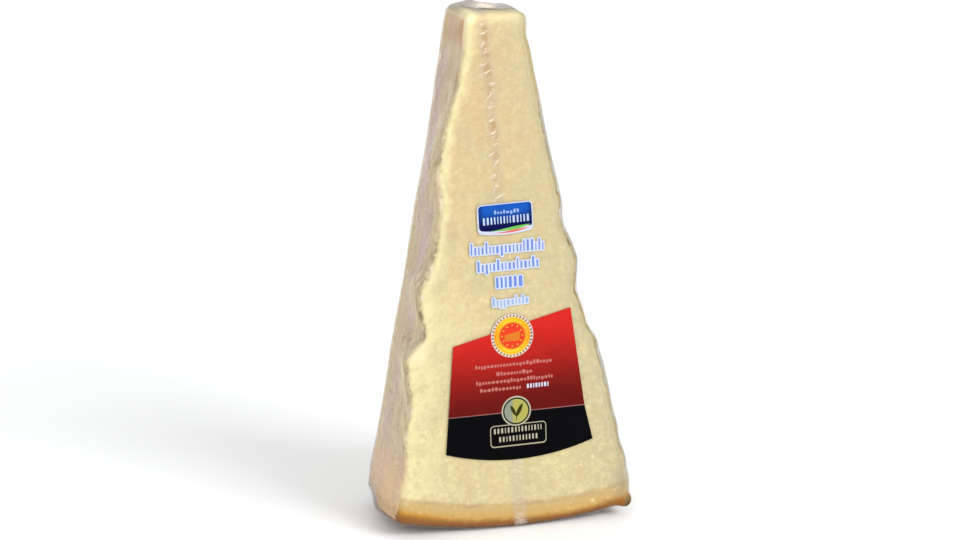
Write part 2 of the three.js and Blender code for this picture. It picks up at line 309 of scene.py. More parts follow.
# The stage, in metres: each light's name, place, size and power, and the point that they look at.
LIGHTS = (
    ("key", (1.1, -1.5, 1.3), 1.0, 35.5),
    ("fill", (-1.2, -1.7, 0.8), 1.2, 15.0),
)
LIGHTS_AIM = (0.0, 0.0, 0.1)
FLOOR_GLOW = (0.21, 0.2, 0.19)  # what the far end of the floor and the wall give off
FLOOR_GAP = 0.0001  # how far the floor lies below the object


def bell(distance, reach):
    """A smooth hump: 1 at distance 0, falling as the exponential of the negative square."""
    return np.exp(-((distance / reach) ** 2))


def bells(z, marks):
    """The sum of such humps, each given by its height, how far it stands out and how far it reaches."""
    return sum(out * bell(z - height, reach) for height, out, reach in marks)


def near(points, place):
    """The same hump round a place in space."""
    return bell(np.linalg.norm(points - place["at"], axis=-1), place["reach"])


def blend(start, end, share):
    """The value that far between start and end."""
    return start + (end - start) * share


def cubic(share):
    """The smooth cubic that is level at 0 and at 1."""
    return share * share * (3 - 2 * share)


def eased(value, low, high):
    """0 below low, 1 above high, and the smooth cubic in between."""
    return cubic(np.clip((value - low) / (high - low), 0, 1))


def fading(value, low, high):
    """1 below low, 0 above high, and the smooth cubic in between."""
    return 1 - eased(value, low, high)


def bending(distance):
    """How far a row is bent: 1 at the rind or the tip, and falling as a parabola to 0 in the walls."""
    return np.maximum(0, 1 - distance / RISE_FADE) ** 2


def on_ground(x, y):
    """Points at height 0."""
    return np.stack([x, y, 0 * x], axis=-1)


def scramble(cells, seed):
    """A fixed random value from -1 to 1 for each cell of a whole-number lattice."""
    mixed = (cells.astype(np.int64) * LATTICE_FACTORS).sum(axis=-1) + seed * SEED_FACTOR
    mixed = (mixed ^ (mixed >> 13)) * 1274126177 & 0xFFFFFFFF
    mixed = (mixed ^ (mixed >> 16)) & 0xFFFF
    return mixed / 32767.5 - 1


def noise(points, scale, seed, octaves=1):
    """Smooth random relief from -1 to 1: a lattice's values, eased between its cells, in several layers."""
    total = np.zeros(points.shape[:-1])
    weight_sum = 0.0
    for octave in range(octaves):
        weight = 0.5**octave
        place = points / (scale * weight)
        base = np.floor(place)
        share = cubic(place - base)
        layer = 0.0
        for corner in range(8):
            offset = np.array([corner & 1, corner >> 1 & 1, corner >> 2])
            pull = np.prod(np.where(offset == 1, share, 1 - share), axis=-1)
            layer = layer + pull * scramble(base + offset, seed + octave)
        total += weight * layer
        weight_sum += weight
    return total / weight_sum


class Wedge:
    """The wedge's outer form and the same form drawn in, as the cheese is inside its film."""

    def __init__(self, gap=0.0, notches=None, bulge_share=1.0, rind_curl=0.0):
        self.gap = gap
        self.notches = notches or {}
        self.bulge_share = bulge_share
        sizes = look("wedge_sizes")
        for name in WedgeSizes.__annotations__:
            setattr(self, name, getattr(sizes, name) / MM)
        self.rind_edge += rind_curl
        self.lean = (self.bottom_depth - self.top_depth) / 2 / HEIGHT
        self.corner_rise = float(self.rind_rise(EDGES["front_left"].foot, self.bottom_depth / 2))
        self.tip_x = (EDGES["front_left"].tip + EDGES["front_right"].tip) / 2

    def edge_x(self, name, z):
        """An upright edge: its straight line, moved outwards by its crags and inwards by its notches."""
        edge = EDGES[name]
        relief = bells(z, edge.crags) - bells(z, self.notches.get(name, ()))
        return blend(edge.foot, edge.tip, z / HEIGHT) + np.sign(edge.foot) * relief

    def rind_rise(self, x, y):
        """The rind: a circle's arc from left to right, a parabola from front to back, less the flat spot."""
        arc = self.wheel_radius - np.sqrt(self.wheel_radius**2 - (x - self.stand_x) ** 2)
        barrel = self.barrel_rise * (y / (self.bottom_depth / 2)) ** 2
        return np.maximum(0, arc + barrel - self.stand_flat)

    def tip_rise(self, x, y):
        """The tip: a slight slope up to the back, with one smooth hump where the film is gathered."""
        fold = bell(x - FOLD["x"], FOLD["along_x"]) * bell(y - FOLD["y"], FOLD["along_y"])
        return TIP_TILT * y + FOLD["rise"] * fold

    def height(self, level, x, y):
        """The height of a point: its row's level, bent to the rind's arc below and to the tip above."""
        foot_share = bending(level)
        head_share = bending(HEIGHT - level)
        inner = self.gap * (foot_share - head_share)
        return level + self.rind_rise(x, y) * foot_share + self.tip_rise(x, y) * head_share + inner

    def half_depth(self, level):
        """Half the depth at a level: the two faces lean in by the same straight slope."""
        return self.bottom_depth / 2 - self.lean * level - self.gap

    def side_x(self, front, back, y, level, phase):
        """A side face: the eased blend of its two edges, with sines for its waves and a hump at its foot."""
        z = level + self.corner_rise * bending(level)
        half = self.bottom_depth / 2 - self.lean * level
        share = np.clip((y + half) / (2 * half), 0, 1)
        wave = np.sin(z / 8 + 4 * share + phase) + np.sin(z / 19 - 3 * share + 2 * phase)
        bulge = self.bulge_share * self.foot_bulge * bell(z - BULGE_Z, BULGE_REACH)
        relief = (self.side_relief * wave + bulge) * np.sin(math.pi * share)
        outwards = np.sign(EDGES[front].foot)
        line = blend(self.edge_x(front, z), self.edge_x(back, z), cubic(share))
        return line + outwards * (relief - self.gap)

    def left_x(self, y, level):
        """The left face."""
        return self.side_x("front_left", "back_left", y, level, 0.6)

    def right_x(self, y, level):
        """The right face."""
        return self.side_x("front_right", "back_right", y, level, 2.1)

    def surface(self, rows, loop):
        """The skin: each row's four-sided outline with rounded corners, drawn in by its inset and share."""
        level, inset, share = (values[:, None] for values in rows)
        across, corner_x, centre_y, corner_y = (values[None, :] for values in loop)
        radius = np.maximum(self.corner_radius - inset, 0.4)
        reach = self.half_depth(level) - inset
        y = centre_y * (reach - radius) + corner_y * radius
        left = self.left_x(y, level) + inset + radius
        right = self.right_x(y, level) - inset - radius
        x = blend(left, right, across) + corner_x * radius
        middle = np.where(level < HEIGHT / 2, self.stand_x, self.tip_x)
        x = blend(middle, x, share)
        y = y * share
        return np.stack([x, y, self.height(level, x, y)], axis=-1)

    def front(self, x, z, lift=0.0):
        """Points on the leaning front face, that far outside it."""
        slope = math.atan(self.lean)
        y = -(self.bottom_depth / 2 - self.lean * z) - lift * math.cos(slope)
        return np.stack(np.broadcast_arrays(x, y, z + lift * math.sin(slope)), axis=-1)


def crowded(count):
    """Shares from 0 to 1 that lie closer together towards both ends: an even share less a sine."""
    share = np.linspace(0, 1, count + 1)
    return share - CROWDING * np.sin(2 * math.pi * share)


def loop_marks(front, back, side, corner):
    """The stations of a loop, anticlockwise from above and from the front's left end.

    Each is given by its share across from left to right and by the factors that the corner radius
    and the straight reach are multiplied by, so a quarter circle joins each face to the next.
    """
    quarter = (np.arange(corner) + 0.5) / corner * math.pi / 2
    sides = 2 * crowded(side) - 1

    def stretch(count, *marks):
        return np.stack([np.broadcast_to(np.asarray(mark, float), count) for mark in marks])

    def turn(start, across, centre_y):
        return stretch(corner, across, np.cos(start + quarter), centre_y, np.sin(start + quarter))

    half_turn = math.pi / 2
    return np.concatenate(
        [
            stretch(front + 1, crowded(front), 0, -1, -1),
            turn(-half_turn, 1, -1),
            stretch(side + 1, 1, 1, sides, 0),
            turn(0, 1, 1),
            stretch(back + 1, 1 - crowded(back), 0, 1, 1),
            turn(half_turn, 0, 1),
            stretch(side + 1, 0, -1, -sides, 0),
            turn(math.pi, 0, -1),
        ],
        axis=1,
    )


def row_marks(wedge, walls, rounding, rind_rings, tip_rings):
    """The rows from the middle of the rind, out, up the walls and in over the tip: level, inset and share."""
    rind, tip = wedge.rind_edge, wedge.tip_edge
    angles = np.arange(rounding) / rounding * math.pi / 2
    up = 1 - np.cos(angles)
    inwards = 1 - np.sin(angles)
    ring = np.arange(1, rind_rings) / rind_rings
    cap = np.arange(tip_rings - 1, 0, -1) / tip_rings
    wall = np.linspace(rind, HEIGHT - tip, walls + 1)
    parts = (
        (0 * ring, rind + 0 * ring, ring),
        (rind * up, rind * inwards, 1 + 0 * angles),
        (wall, 0 * wall, 1 + 0 * wall),
        (HEIGHT - tip * up[::-1], tip * inwards[::-1], 1 + 0 * angles),
        (HEIGHT + 0 * cap, tip + 0 * cap, cap),
    )
    return [np.concatenate(values) for values in zip(*parts)]


def grid_normals(points):
    """Outward directions of a closed-loop grid: the cross product of the step round and the step up."""
    around = np.roll(points, -1, axis=1) - np.roll(points, 1, axis=1)
    up = np.gradient(points, axis=0)
    normal = np.cross(around, up)
    return normal / np.maximum(np.linalg.norm(normal, axis=-1, keepdims=True), 1e-9)


def dashes(u, v, centres, half_lengths, half_widths, angles):
    """The sum of many slanting humps, each longer than wide; one number may stand for all the widths."""
    total = np.zeros(np.broadcast(u, v).shape)
    half_widths = np.broadcast_to(half_widths, len(centres))
    for centre, half_length, half_width, angle in zip(centres, half_lengths, half_widths, angles):
        to_right, upwards = u - centre[0], v - centre[1]
        along = to_right * math.cos(angle) + upwards * math.sin(angle)
        away = upwards * math.cos(angle) - to_right * math.sin(angle)
        total += bell(along, half_length) * bell(away, half_width)
    return total


# ---------------------------------------------------------------------------------------------------
# Meshes


def new_piece(name, vertices, faces, material, attributes=None, smooth=True):
    """Puts vertices, given in millimetres, and faces into a new object, and says what it rides on."""
    mesh = bpy.data.meshes.new(name)
    mesh.from_pydata((np.asarray(vertices, float) * MM).tolist(), [], faces)
    for key, values in (attributes or {}).items():
        layer = mesh.attributes.new(key, "FLOAT", "POINT")
        layer.data.foreach_set("value", np.asarray(values, np.float32).ravel())
    mesh.polygons.foreach_set("use_smooth", [smooth] * len(mesh.polygons))
    mesh.materials.append(material)
    mesh.validate()
    mesh.update()
    piece = bpy.data.objects.new(name, mesh)
    bpy.context.scene.collection.objects.link(piece)
    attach(piece, "root")
    return piece


def skin_faces(rows, around):
    """Quads between neighbouring closed loops, and a fan to one more point at each end."""
    index = np.arange(rows * around).reshape(rows, around)
    turned = np.roll(index, -1, axis=1)
    quads = np.stack([index[:-1], turned[:-1], turned[1:], index[1:]], axis=-1).reshape(-1, 4)
    foot = np.full(around, rows * around)
    head = foot + 1
    foot_fan = np.stack([foot, turned[0], index[0]], axis=-1)
    head_fan = np.stack([index[-1], turned[-1], head], axis=-1)
    return quads.tolist() + foot_fan.tolist() + head_fan.tolist()


def with_ends(values):
    """A grid's points or values in a row, and then the means of its first and of its last loop."""
    return np.concatenate([values.reshape(-1, *values.shape[2:]), values[[0, -1]].mean(axis=1)])


def strip_faces(rows, columns):
    """Quads of an open grid."""
    index = np.arange(rows * columns).reshape(rows, columns)
    corners = [index[:-1, :-1], index[:-1, 1:], index[1:, 1:], index[1:, :-1]]
    return np.stack(corners, axis=-1).reshape(-1, 4).tolist()


def skin_piece(name, points, material, attributes):
    """A closed skin round the whole wedge, made of a grid of loops, with a number for each of its points."""
    numbers = {key: with_ends(values) for key, values in attributes.items()}
    faces = skin_faces(*points.shape[:2])
    piece = new_piece(name, with_ends(points), faces, material, numbers)
    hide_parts("wrapped_wedge")


def sheet_piece(name, points, material, attributes):
    """An open sheet of film, made of a grid of points."""
    faces = strip_faces(*points.shape[:2])
    new_piece(name, points.reshape(-1, 3), faces, material, attributes)


def plates(outlines, lift, thickness, rings=1):
    """Thin closed plates on the front face, one for each outline of an array (plate, point, x and z).

    A plate's upper face is its outline drawn in towards its middle, ring by ring; its rim goes
    straight down by the thickness to a flat lower face. The lift may differ from plate to plate.
    """
    wedge = Wedge()
    outlines = np.asarray(outlines, float)
    count, around, _ = outlines.shape
    lift = np.broadcast_to(np.asarray(lift, float), count)[:, None]
    middle = outlines.mean(axis=1, keepdims=True)
    shares = np.linspace(1, 0, rings + 1)[:-1]
    upper = [wedge.front(*np.moveaxis(blend(middle, outlines, share), -1, 0), lift) for share in shares]
    lower = wedge.front(*np.moveaxis(outlines, -1, 0), lift - thickness)
    loops = np.stack([lower, *upper], axis=1)
    foot = wedge.front(*np.moveaxis(middle, -1, 0), lift - thickness)
    head = wedge.front(*np.moveaxis(middle, -1, 0), lift)
    each = np.concatenate([loops.reshape(count, -1, 3), foot, head], axis=1)
    pattern = skin_faces(rings + 1, around)
    starts = range(0, count * each.shape[1], each.shape[1])
    return each.reshape(-1, 3), [[corner + start for corner in face] for start in starts for face in pattern]


def ellipse(x, z, half_width, half_height, points=48):
    """An ellipse's outline."""
    angle = np.arange(points) / points * 2 * math.pi
    return np.stack([x + half_width * np.cos(angle), z + half_height * np.sin(angle)], axis=-1)


def rounded(x, z, width, height, radius, turn=0.0, bow=0.0, corner=5):
    """A rounded rectangle's outline, turned about its middle; its lower edge may bow down as a parabola."""
    quarter = np.linspace(0, math.pi / 2, corner)
    angle = np.concatenate([quarter + start * math.pi / 2 for start in range(4)])
    side = np.repeat([1, -1, -1, 1], corner)
    upright = np.repeat([1, 1, -1, -1], corner)
    local_x = side * (width / 2 - radius) + radius * np.cos(angle)
    local_z = upright * (height / 2 - radius) + radius * np.sin(angle)
    if bow:
        last = 3 * corner
        added = np.linspace(local_x[last - 1], local_x[last], 12)[1:-1]
        local_x = np.insert(local_x, last, added)
        local_z = np.insert(local_z, last, np.full(len(added), -height / 2))
        low = local_z < -height / 4
        local_z = local_z - low * bow * (1 - (2 * local_x / width) ** 2)
    cos, sin = math.cos(turn), math.sin(turn)
    return np.stack([x + cos * local_x - sin * local_z, z + sin * local_x + cos * local_z], axis=-1)


# ---------------------------------------------------------------------------------------------------
# Materials


class Value:
    """A number's socket. Python's operators on it add the Math nodes that work them out."""

    def __init__(self, paint, socket):
        self.paint = paint
        self.socket = socket

    def maths(self, operation, *others):
        """One Math node on this value and the others."""
        return self.paint.maths(operation, self, *others)

    def __add__(self, other):
        return self.maths("ADD", other)

    def __sub__(self, other):
        return self.maths("SUBTRACT", other)

    def __rsub__(self, other):
        return self.paint.maths("SUBTRACT", other, self)

    def __mul__(self, other):
        return self.maths("MULTIPLY", other)

    def __truediv__(self, other):
        return self.maths("DIVIDE", other)

    def __pow__(self, other):
        return self.maths("POWER", other)

    __radd__ = __add__
    __rmul__ = __mul__

    def least(self, other):
        """The smaller of the two."""
        return self.maths("MINIMUM", other)

    def most(self, other):
        """The larger of the two."""
        return self.maths("MAXIMUM", other)

    def away_from(self, middle):
        """How far it is from that number, on either side."""
        return (self - middle).maths("ABSOLUTE")

    def eased(self, low, high):
        """0 at low, 1 at high, and smooth in between."""
        inputs = {"Value": self, "From Min": low, "From Max": high}
        node = self.paint.node("ShaderNodeMapRange", {"interpolation_type": "SMOOTHSTEP"}, inputs)
        return Value(self.paint, node.outputs[0])

    def fading(self, low, high):
        """1 at low, 0 at high, and smooth in between."""
        return 1 - self.eased(low, high)


class Paint:
    """A new material and the nodes that are added to it."""

    def __init__(self, name):
        self.material = bpy.data.materials.new(name)
        self.material.use_nodes = True
        self.tree = self.material.node_tree
        self.tree.nodes.clear()
        self.output = self.tree.nodes.new("ShaderNodeOutputMaterial")

    def node(self, kind, settings=None, inputs=None):
        """A node of that type, with its settings made first, then its sockets' values or links."""
        node = self.tree.nodes.new(kind)
        for key, value in (settings or {}).items():
            setattr(node, key, value)
        for key, value in (inputs or {}).items():
            socket = node.inputs[key]
            if isinstance(value, Value):
                value = value.socket
            if isinstance(value, bpy.types.NodeSocket):
                self.tree.links.new(value, socket)
            elif socket.type == "RGBA" and len(value) == 3:
                socket.default_value = (*value, 1.0)
            else:
                socket.default_value = value
        return node

    def maths(self, operation, *values):
        """One Math node on these values."""
        node = self.node("ShaderNodeMath", {"operation": operation}, dict(enumerate(values)))
        return Value(self, node.outputs[0])

    def vector_maths(self, operation, inputs, output="Vector"):
        """One Vector Math node."""
        return self.node("ShaderNodeVectorMath", {"operation": operation}, inputs).outputs[output]

    def place(self):
        """The Object coordinates, in metres."""
        return self.node("ShaderNodeTexCoord").outputs["Object"]

    def axes(self):
        """The three coordinates as values, in millimetres."""
        split = self.node("ShaderNodeSeparateXYZ", None, {0: self.place()})
        return [Value(self, socket) * (1 / MM) for socket in split.outputs]

    def upright_depth(self):
        """The coordinate from front to back, as it would be if the front face stood upright."""
        _, y, z = self.axes()
        return y - z * FRONT_SLOPE

    def stretched(self, scale):
        """The Object coordinates, scaled by three factors."""
        return self.node("ShaderNodeMapping", None, {"Vector": self.place(), "Scale": scale}).outputs[0]

    def bent(self, size_mm, depth_mm):
        """The Object coordinates, pushed about by noise of that size and depth."""
        inputs = {"Vector": self.place(), "Scale": 1 / (size_mm * MM), "Detail": 2.0}
        push = self.node("ShaderNodeTexNoise", None, inputs).outputs[1]
        centred = self.vector_maths("SUBTRACT", {0: push, 1: (0.5, 0.5, 0.5)})
        scaled = self.vector_maths("SCALE", {0: centred, "Scale": depth_mm * MM})
        return self.vector_maths("ADD", {0: self.place(), 1: scaled})

    def attribute(self, name):
        """A number stored on the mesh's points."""
        return Value(self, self.node("ShaderNodeAttribute", {"attribute_name": name}).outputs["Fac"])

    def noise(self, size_mm, detail=2.0, roughness=0.5, place=None):
        """Soft noise from 0 to 1 whose patches are about that many millimetres across."""
        inputs = {"Vector": place or self.place(), "Scale": 1 / (size_mm * MM)}
        inputs |= {"Detail": detail, "Roughness": roughness}
        return Value(self, self.node("ShaderNodeTexNoise", None, inputs).outputs[0])

    def layers(self, size_mm, normal):
        """Soft noise from 0 to 1 that hardly changes within the planes of that normal."""
        across = self.vector_maths("DOT_PRODUCT", {0: self.place(), 1: normal}, "Value")
        slow = self.axes()[2] * (LAYER_DRIFT * MM)
        joined = self.node("ShaderNodeCombineXYZ", None, {0: across, 1: slow})
        return self.noise(size_mm, place=joined.outputs[0])

    def spots(self, size_mm, radius_mm, share, place):
        """Soft round spots of uneven sizes in that share of the cells of a field of scattered points."""
        inputs = {"Vector": place, "Scale": 1 / (size_mm * MM)}
        cells = self.node("ShaderNodeTexVoronoi", {"feature": "F1"}, inputs)
        parts = self.node("ShaderNodeSeparateColor", None, {0: cells.outputs["Color"]})
        chance = Value(self, parts.outputs[0])
        radius = (1 - chance * (1 / share)).most(0.001) * (radius_mm / size_mm)
        return (Value(self, cells.outputs["Distance"]) / radius).fading(0.1, 1.0)

    def mix(self, factor, first, second):
        """A colour between two colours."""
        inputs = {"Factor": factor, 6: first, 7: second}
        return self.node("ShaderNodeMix", {"data_type": "RGBA"}, inputs).outputs[2]

    def layered(self, colour, *coats):
        """A colour under coats laid on in order, each given by how much it covers and by its colour."""
        for cover, coat in coats:
            colour = self.mix(cover, colour, coat)
        return colour

    def bump(self, height, distance_mm, strength):
        """A bumped normal from a height value."""
        inputs = {"Height": height, "Distance": distance_mm * MM, "Strength": strength}
        return self.node("ShaderNodeBump", None, inputs).outputs[0]

    def principled(self, inputs, settings=None):
        """A Principled shader with these inputs."""
        return self.node("ShaderNodeBsdfPrincipled", settings, inputs)

    def finish(self, shader):
        """Links a shader node to the output and gives the material back."""
        self.tree.links.new(shader.outputs[0], self.output.inputs["Surface"])
        return self.material


def cheese_material():
    """Cut paste with patches, grain and crystals; it darkens towards the rind, whose band is brown."""
    hues = look("cheese_look")
    paint = Paint("cheese_paste_and_rind")
    above = paint.attribute("above_rind")
    crumbs = paint.noise(1.8, 3.0, 0.7)
    coarse = paint.noise(4.5, 3.0, 0.7)
    reach = paint.attribute("from_left").least(paint.attribute("from_right"))
    ragged = reach + (crumbs - 0.5) * 5.0 + (coarse - 0.5) * 9.0
    broken = ragged.fading(0.3, 1.1) * above.eased(8, 25)
    side = (paint.attribute("side") + (crumbs - 0.5)).eased(0.72, 0.9).most(broken)
    border = side * (1 - side) * 4 + reach.away_from(0.8).fading(0, 1.7) * 0.6
    # painted shade in the crumbs along the edges between the cut and the broken sides
    crumb_shade = (coarse * 0.5 + crumbs * 0.5).eased(0.46, 0.58) * above.eased(12, 30) * above.fading(170, 190)
    lit_notch = (paint.attribute("lit_notch") + (crumbs - 0.5) * 0.6).eased(0.2, 0.8)
    pit = paint.attribute("pit") + (crumbs - 0.5) * 0.4

    crystals, relief = crystal_field(paint)
    colour = paint.layered(
        paste_colour(paint, hues, above),
        (crystals * (1 - above.eased(40, 100) * 0.85), hues.crystal_and_lit_notch),
        (side, broken_colour(paint, hues, above)),
        # painted shade in the crumbs along the cut's side edges
        (border * crumb_shade * 0.5, hues.pit),
        # painted shade on the right side and along its edges
        (right_corner_shade(paint) * above.eased(8, 30), hues.pit),
        # painted light: the break's facet lies in shade, and this pale colour stands in for light on it
        (lit_notch * 0.9, hues.crystal_and_lit_notch),
    )
    colour = paint.layered(
        rind_zone(paint, hues, colour, side, crumbs, crystals),
        # painted shade in the crags and chips
        (paint.attribute("crag_shade"), hues.pit),
        # painted shade in the front edges' crags; past it, the knob's own bare rind colour
        (pit.eased(0.3, 0.9), hues.pit),
        (pit.eased(0.9, 1.5) * 0.6, hues.bare_rind),
    )
    bumps = paint.noise(1.6, 3.0, 0.6) * 0.5 + paint.noise(0.7) * 0.3 + relief * 0.2
    shader = paint.principled(
        {
            "Base Color": colour,
            "Roughness": 0.5,
            "Normal": paint.bump(bumps, 0.3, 0.5),
            "Subsurface Weight": 0.1,
            "Subsurface Radius": (1.0, 0.7, 0.3),
            "Subsurface Scale": 2 * MM,
            "Specular IOR Level": 0.25,
        },
        {"subsurface_method": "RANDOM_WALK"},
    )
    return paint.finish(shader)


def right_corner_shade(paint):
    """How much painted shade darkens the right side and its edges: most along the front one."""
    corner = paint.attribute("side").eased(0.02, 0.3) * paint.axes()[0].eased(0, 10)
    rim = paint.attribute("from_right").fading(1.0, 4.2)
    return corner.most(rim) * (paint.upright_depth().fading(-22, -14) * 0.27 + 0.3)


def rind_zone(paint, hues, colour, side, crumbs, crystals):
    """The foot of the cut: a ripe zone under a darker line, over the rind's band; both borders wander."""
    above = paint.attribute("above_rind")
    across = paint.axes()[0]
    rightness = across.eased(-45, 50)
    height = above + (paint.noise(16) - 0.5) * 1.8 + (paint.noise(3) - 0.5) * 0.9
    band = blend(mm("cheese_look", "rind_left"), mm("cheese_look", "rind_right"), rightness)
    line = blend(mm("cheese_look", "ripe_left"), mm("cheese_look", "ripe_right"), rightness)
    over_line = height - line + (crumbs - 0.5) * 1.8
    ripeness = (over_line / (line - band)).fading(-1.0, 0) * 0.35 + 0.5
    ripe = over_line.fading(-1.0, 1.2) * ripeness * (1 - side * 0.7)
    edge = over_line.eased(-2.0, -0.3) * over_line.fading(0, 1.6)
    return paint.layered(
        colour,
        (ripe * (crumbs * 0.9 + 0.68), hues.ripe),
        (edge * paint.noise(12).eased(0.35, 0.6) * 0.3, hues.ripe_line),
        (crystals * over_line.fading(-2, 0) * 0.75, hues.crystal_and_lit_notch),
        # painted shade at the right end of the zone above the rind, by the front right corner
        (across.eased(41, 48) * above.fading(9, 24) * (1 - side) * 0.42, hues.corner_shade),
        ((height - band).fading(-1.6, 1.4) * (1 - side * 0.7), rind_skin(paint, hues, height / band)),
    )


def rind_skin(paint, hues, share):
    """The rind's band: darker at its foot and its right end, with a grain and a patch near its left end."""
    across = paint.axes()[0]
    grain = paint.noise(1.3, 3.0, 0.7, paint.stretched((1.0, 1.0, 0.5)))
    patch = across.eased(-45, -42) * across.fading(-39, -34) * share.fading(0.2, 0.6)
    return paint.layered(
        hues.rind_dark,
        (share.eased(0.4, 1.05), paint.mix(across.eased(-44, -20) * 0.9, hues.rind, hues.rind_brown)),
        (grain.eased(0.5, 0.7) * 0.35, hues.rind_dark),
        ((1 - grain).eased(0.5, 0.7) * 0.2, hues.ripe),
        (paint.noise(4, 3.0, 0.6).eased(0.5, 0.75) * 0.4, hues.rind_dark),
        (paint.noise(9, 3.0, 0.6).eased(0.6, 0.75) * 0.35, hues.pit),
        (across.eased(30, 48) * 0.75, hues.rind_dark),
        (patch * grain.eased(0.3, 0.5) * 0.7, hues.rind_dark),
    )


def paste_colour(paint, hues, above):
    """The cut paste: warmer towards the tip, paler to the left and greener to the right, in soft patches,
    with painted shade along its right edge and a painted highlight along its top edge.
    """
    from_left = paint.attribute("from_left")
    from_right = paint.attribute("from_right")
    warm = paint.noise(8, 4.0, 0.65)
    wander = (warm - 0.5) * 9
    low = above.fading(60, 130)
    # a painted highlight along the top edge of the cut, strongest at its left corner
    top_left_highlight = (above + wander).eased(196, 206) * from_left.fading(3, 12)
    tip = (above + wander).eased(203, 209) * 0.6
    return paint.layered(
        hues.paste,
        ((above + wander * 4).eased(60, 190) * 0.75, hues.paste_warm),
        ((from_left + wander).fading(2, 26) * low * 0.75, hues.pale_paste_and_highlight),
        ((from_right + wander).fading(2, 26) * (low * 0.3 + 0.5), hues.green_paste_and_shade),
        (warm.eased(0.48, 0.66) * 0.4, hues.paste_warm),
        (paint.noise(20, 3.0, 0.6).eased(0.48, 0.6) * (0.5 - low * 0.3), hues.green_paste_and_shade),
        (paint.noise(2.8, 4.0, 0.7).eased(0.4, 0.75) * (low * 0.3 + 0.35), hues.pale_paste_and_highlight),
        (paint.noise(1.2, 3.0, 0.65).eased(0.5, 0.75) * 0.3, hues.pale_paste_and_highlight),
        ((from_left + wander).fading(1.5, 7) * 0.85, hues.pale_paste_and_highlight),
        # painted shade along the right edge of the cut, over its greener tone
        ((from_right + wander).fading(0.5, 7) * 0.65, hues.green_paste_and_shade),
        (paint.noise(2.6, 3.0, 0.65).eased(0.45, 0.7) * 0.4, hues.paste_warm),
        # painted highlight along the top edge of the cut
        (top_left_highlight.most(tip) * 0.2, hues.pale_paste_and_highlight),
    )


def crystal_field(paint):
    """Soft pale crystals of three sizes: how much they colour the paste, and how far they stand out of it."""
    bent = paint.bent(1.0, 0.5)
    large = paint.spots(5.6, 2.0, 0.6, bent)
    middling = paint.spots(2.9, 1.1, 0.7, bent)
    small = paint.spots(1.9, 0.6, 0.6, bent)
    uneven = paint.noise(9).eased(0.35, 0.6)
    cover = (large * 0.6).most(middling * (uneven * 0.4 + 0.45)).most(small * uneven * 0.45)
    return cover, large.most(middling)


def broken_colour(paint, hues, above):
    """The two broken sides: streaked and blotched, browner by the tip, mottled and pinker at the foot."""
    x, y, _ = paint.axes()
    right = x.eased(-8, 0)
    streaks = paint.noise(5, 3.0, 0.55, paint.stretched((1.0, 1.0, 0.25)))
    mottle = paint.noise(4, 4.0, 0.7).eased(0.4, 0.6) * 0.6 + 0.3
    return paint.layered(
        hues.side,
        (streaks.eased(0.35, 0.65) * 0.6, hues.paste),
        (paint.noise(16).eased(0.45, 0.7) * 0.35, hues.ripe),
        (above.fading(8, 40) * mottle, hues.blush),
        (right * (1 - y.eased(-20, -10) * 0.6) * 0.8, hues.green_paste_and_shade),
        (above.eased(195, 204) * paint.attribute("side").eased(0.9, 1.0) * (1 - right), hues.tip),
    )


def film_material(name, haze=0.0, veil_tint=None, glancing=0.6):
    """Clear film: see-through head on, shining at a glancing angle, with painted highlights along its
    creases.

    Attributes of the mesh say how strong the painted highlights on its creases are, how cloudy it is, which
    on the broken sides stands for a painted reflection with painted shade, how much painted shade it has, as
    between the seam's crinkles, and how much of it is absent, which leaves it quite clear. A missing one
    counts as none.
    """
    hues = look("film_look")
    paint = Paint(name)
    crease_highlight = paint.attribute("crease")
    veil_and_reflection_amount = paint.attribute("veil_and_reflection")
    shaded = paint.attribute("shade")
    bands = paint.layers(1.3, BAND_NORMAL)
    glance = Value(paint, paint.node("ShaderNodeFresnel", None, {"IOR": 1.45}).outputs[0])
    # The cover grows with the painted highlights on creases, the painted reflection and shade on the sides,
    # and painted shade.
    cover = glance * glancing + (hues.haze + haze) + crease_highlight * 0.7 + veil_and_reflection_amount * hues.veil_and_reflection + shaded * 0.34
    cover = (cover + (bands - 0.5) * veil_and_reflection_amount * 0.25) * (1 - paint.attribute("absent"))
    colour = paint.layered(
        hues.film,
        # painted reflection and shade on the broken sides; elsewhere the film's own cloudiness
        (veil_and_reflection_amount.eased(0, 0.5), veil_tint or side_film_colour(paint, hues, bands)),
        (shaded, hues.shade),
        # painted highlights on the creases
        (crease_highlight, hues.glint),
    )
    relief = paint.noise(3.5) + bands * 0.5
    shine = paint.principled(
        {
            "Base Color": colour,
            "Roughness": veil_and_reflection_amount * 0.2 + 0.22,
            "Specular IOR Level": 0.4,
            "Normal": paint.bump(relief, 0.08, 0.5),
        }
    )
    clear = paint.node("ShaderNodeBsdfTransparent")
    inputs = {0: cover.most(0.0).least(0.92), 1: clear.outputs[0], 2: shine.outputs[0]}
    return paint.finish(paint.node("ShaderNodeMixShader", None, inputs))


def side_film_colour(paint, hues, bands):
    """The painted reflection and shade on the broken sides' film: mauve, with duller bands, rarer halfway
    back, and green at the right.
    """
    x, y, _ = paint.axes()
    middle = y.away_from(2).fading(4, 13)
    right_edge = x.eased(0, 10) * paint.upright_depth().fading(-23, -15)
    broad = paint.layers(3.6, BAND_NORMAL)
    olive = (broad * 0.7 + bands * 0.3 + 0.08 - middle * 0.16 + right_edge).eased(0.36, 0.62)
    return paint.layered(hues.mauve, (olive, hues.olive), (right_edge * 0.6, hues.sage))


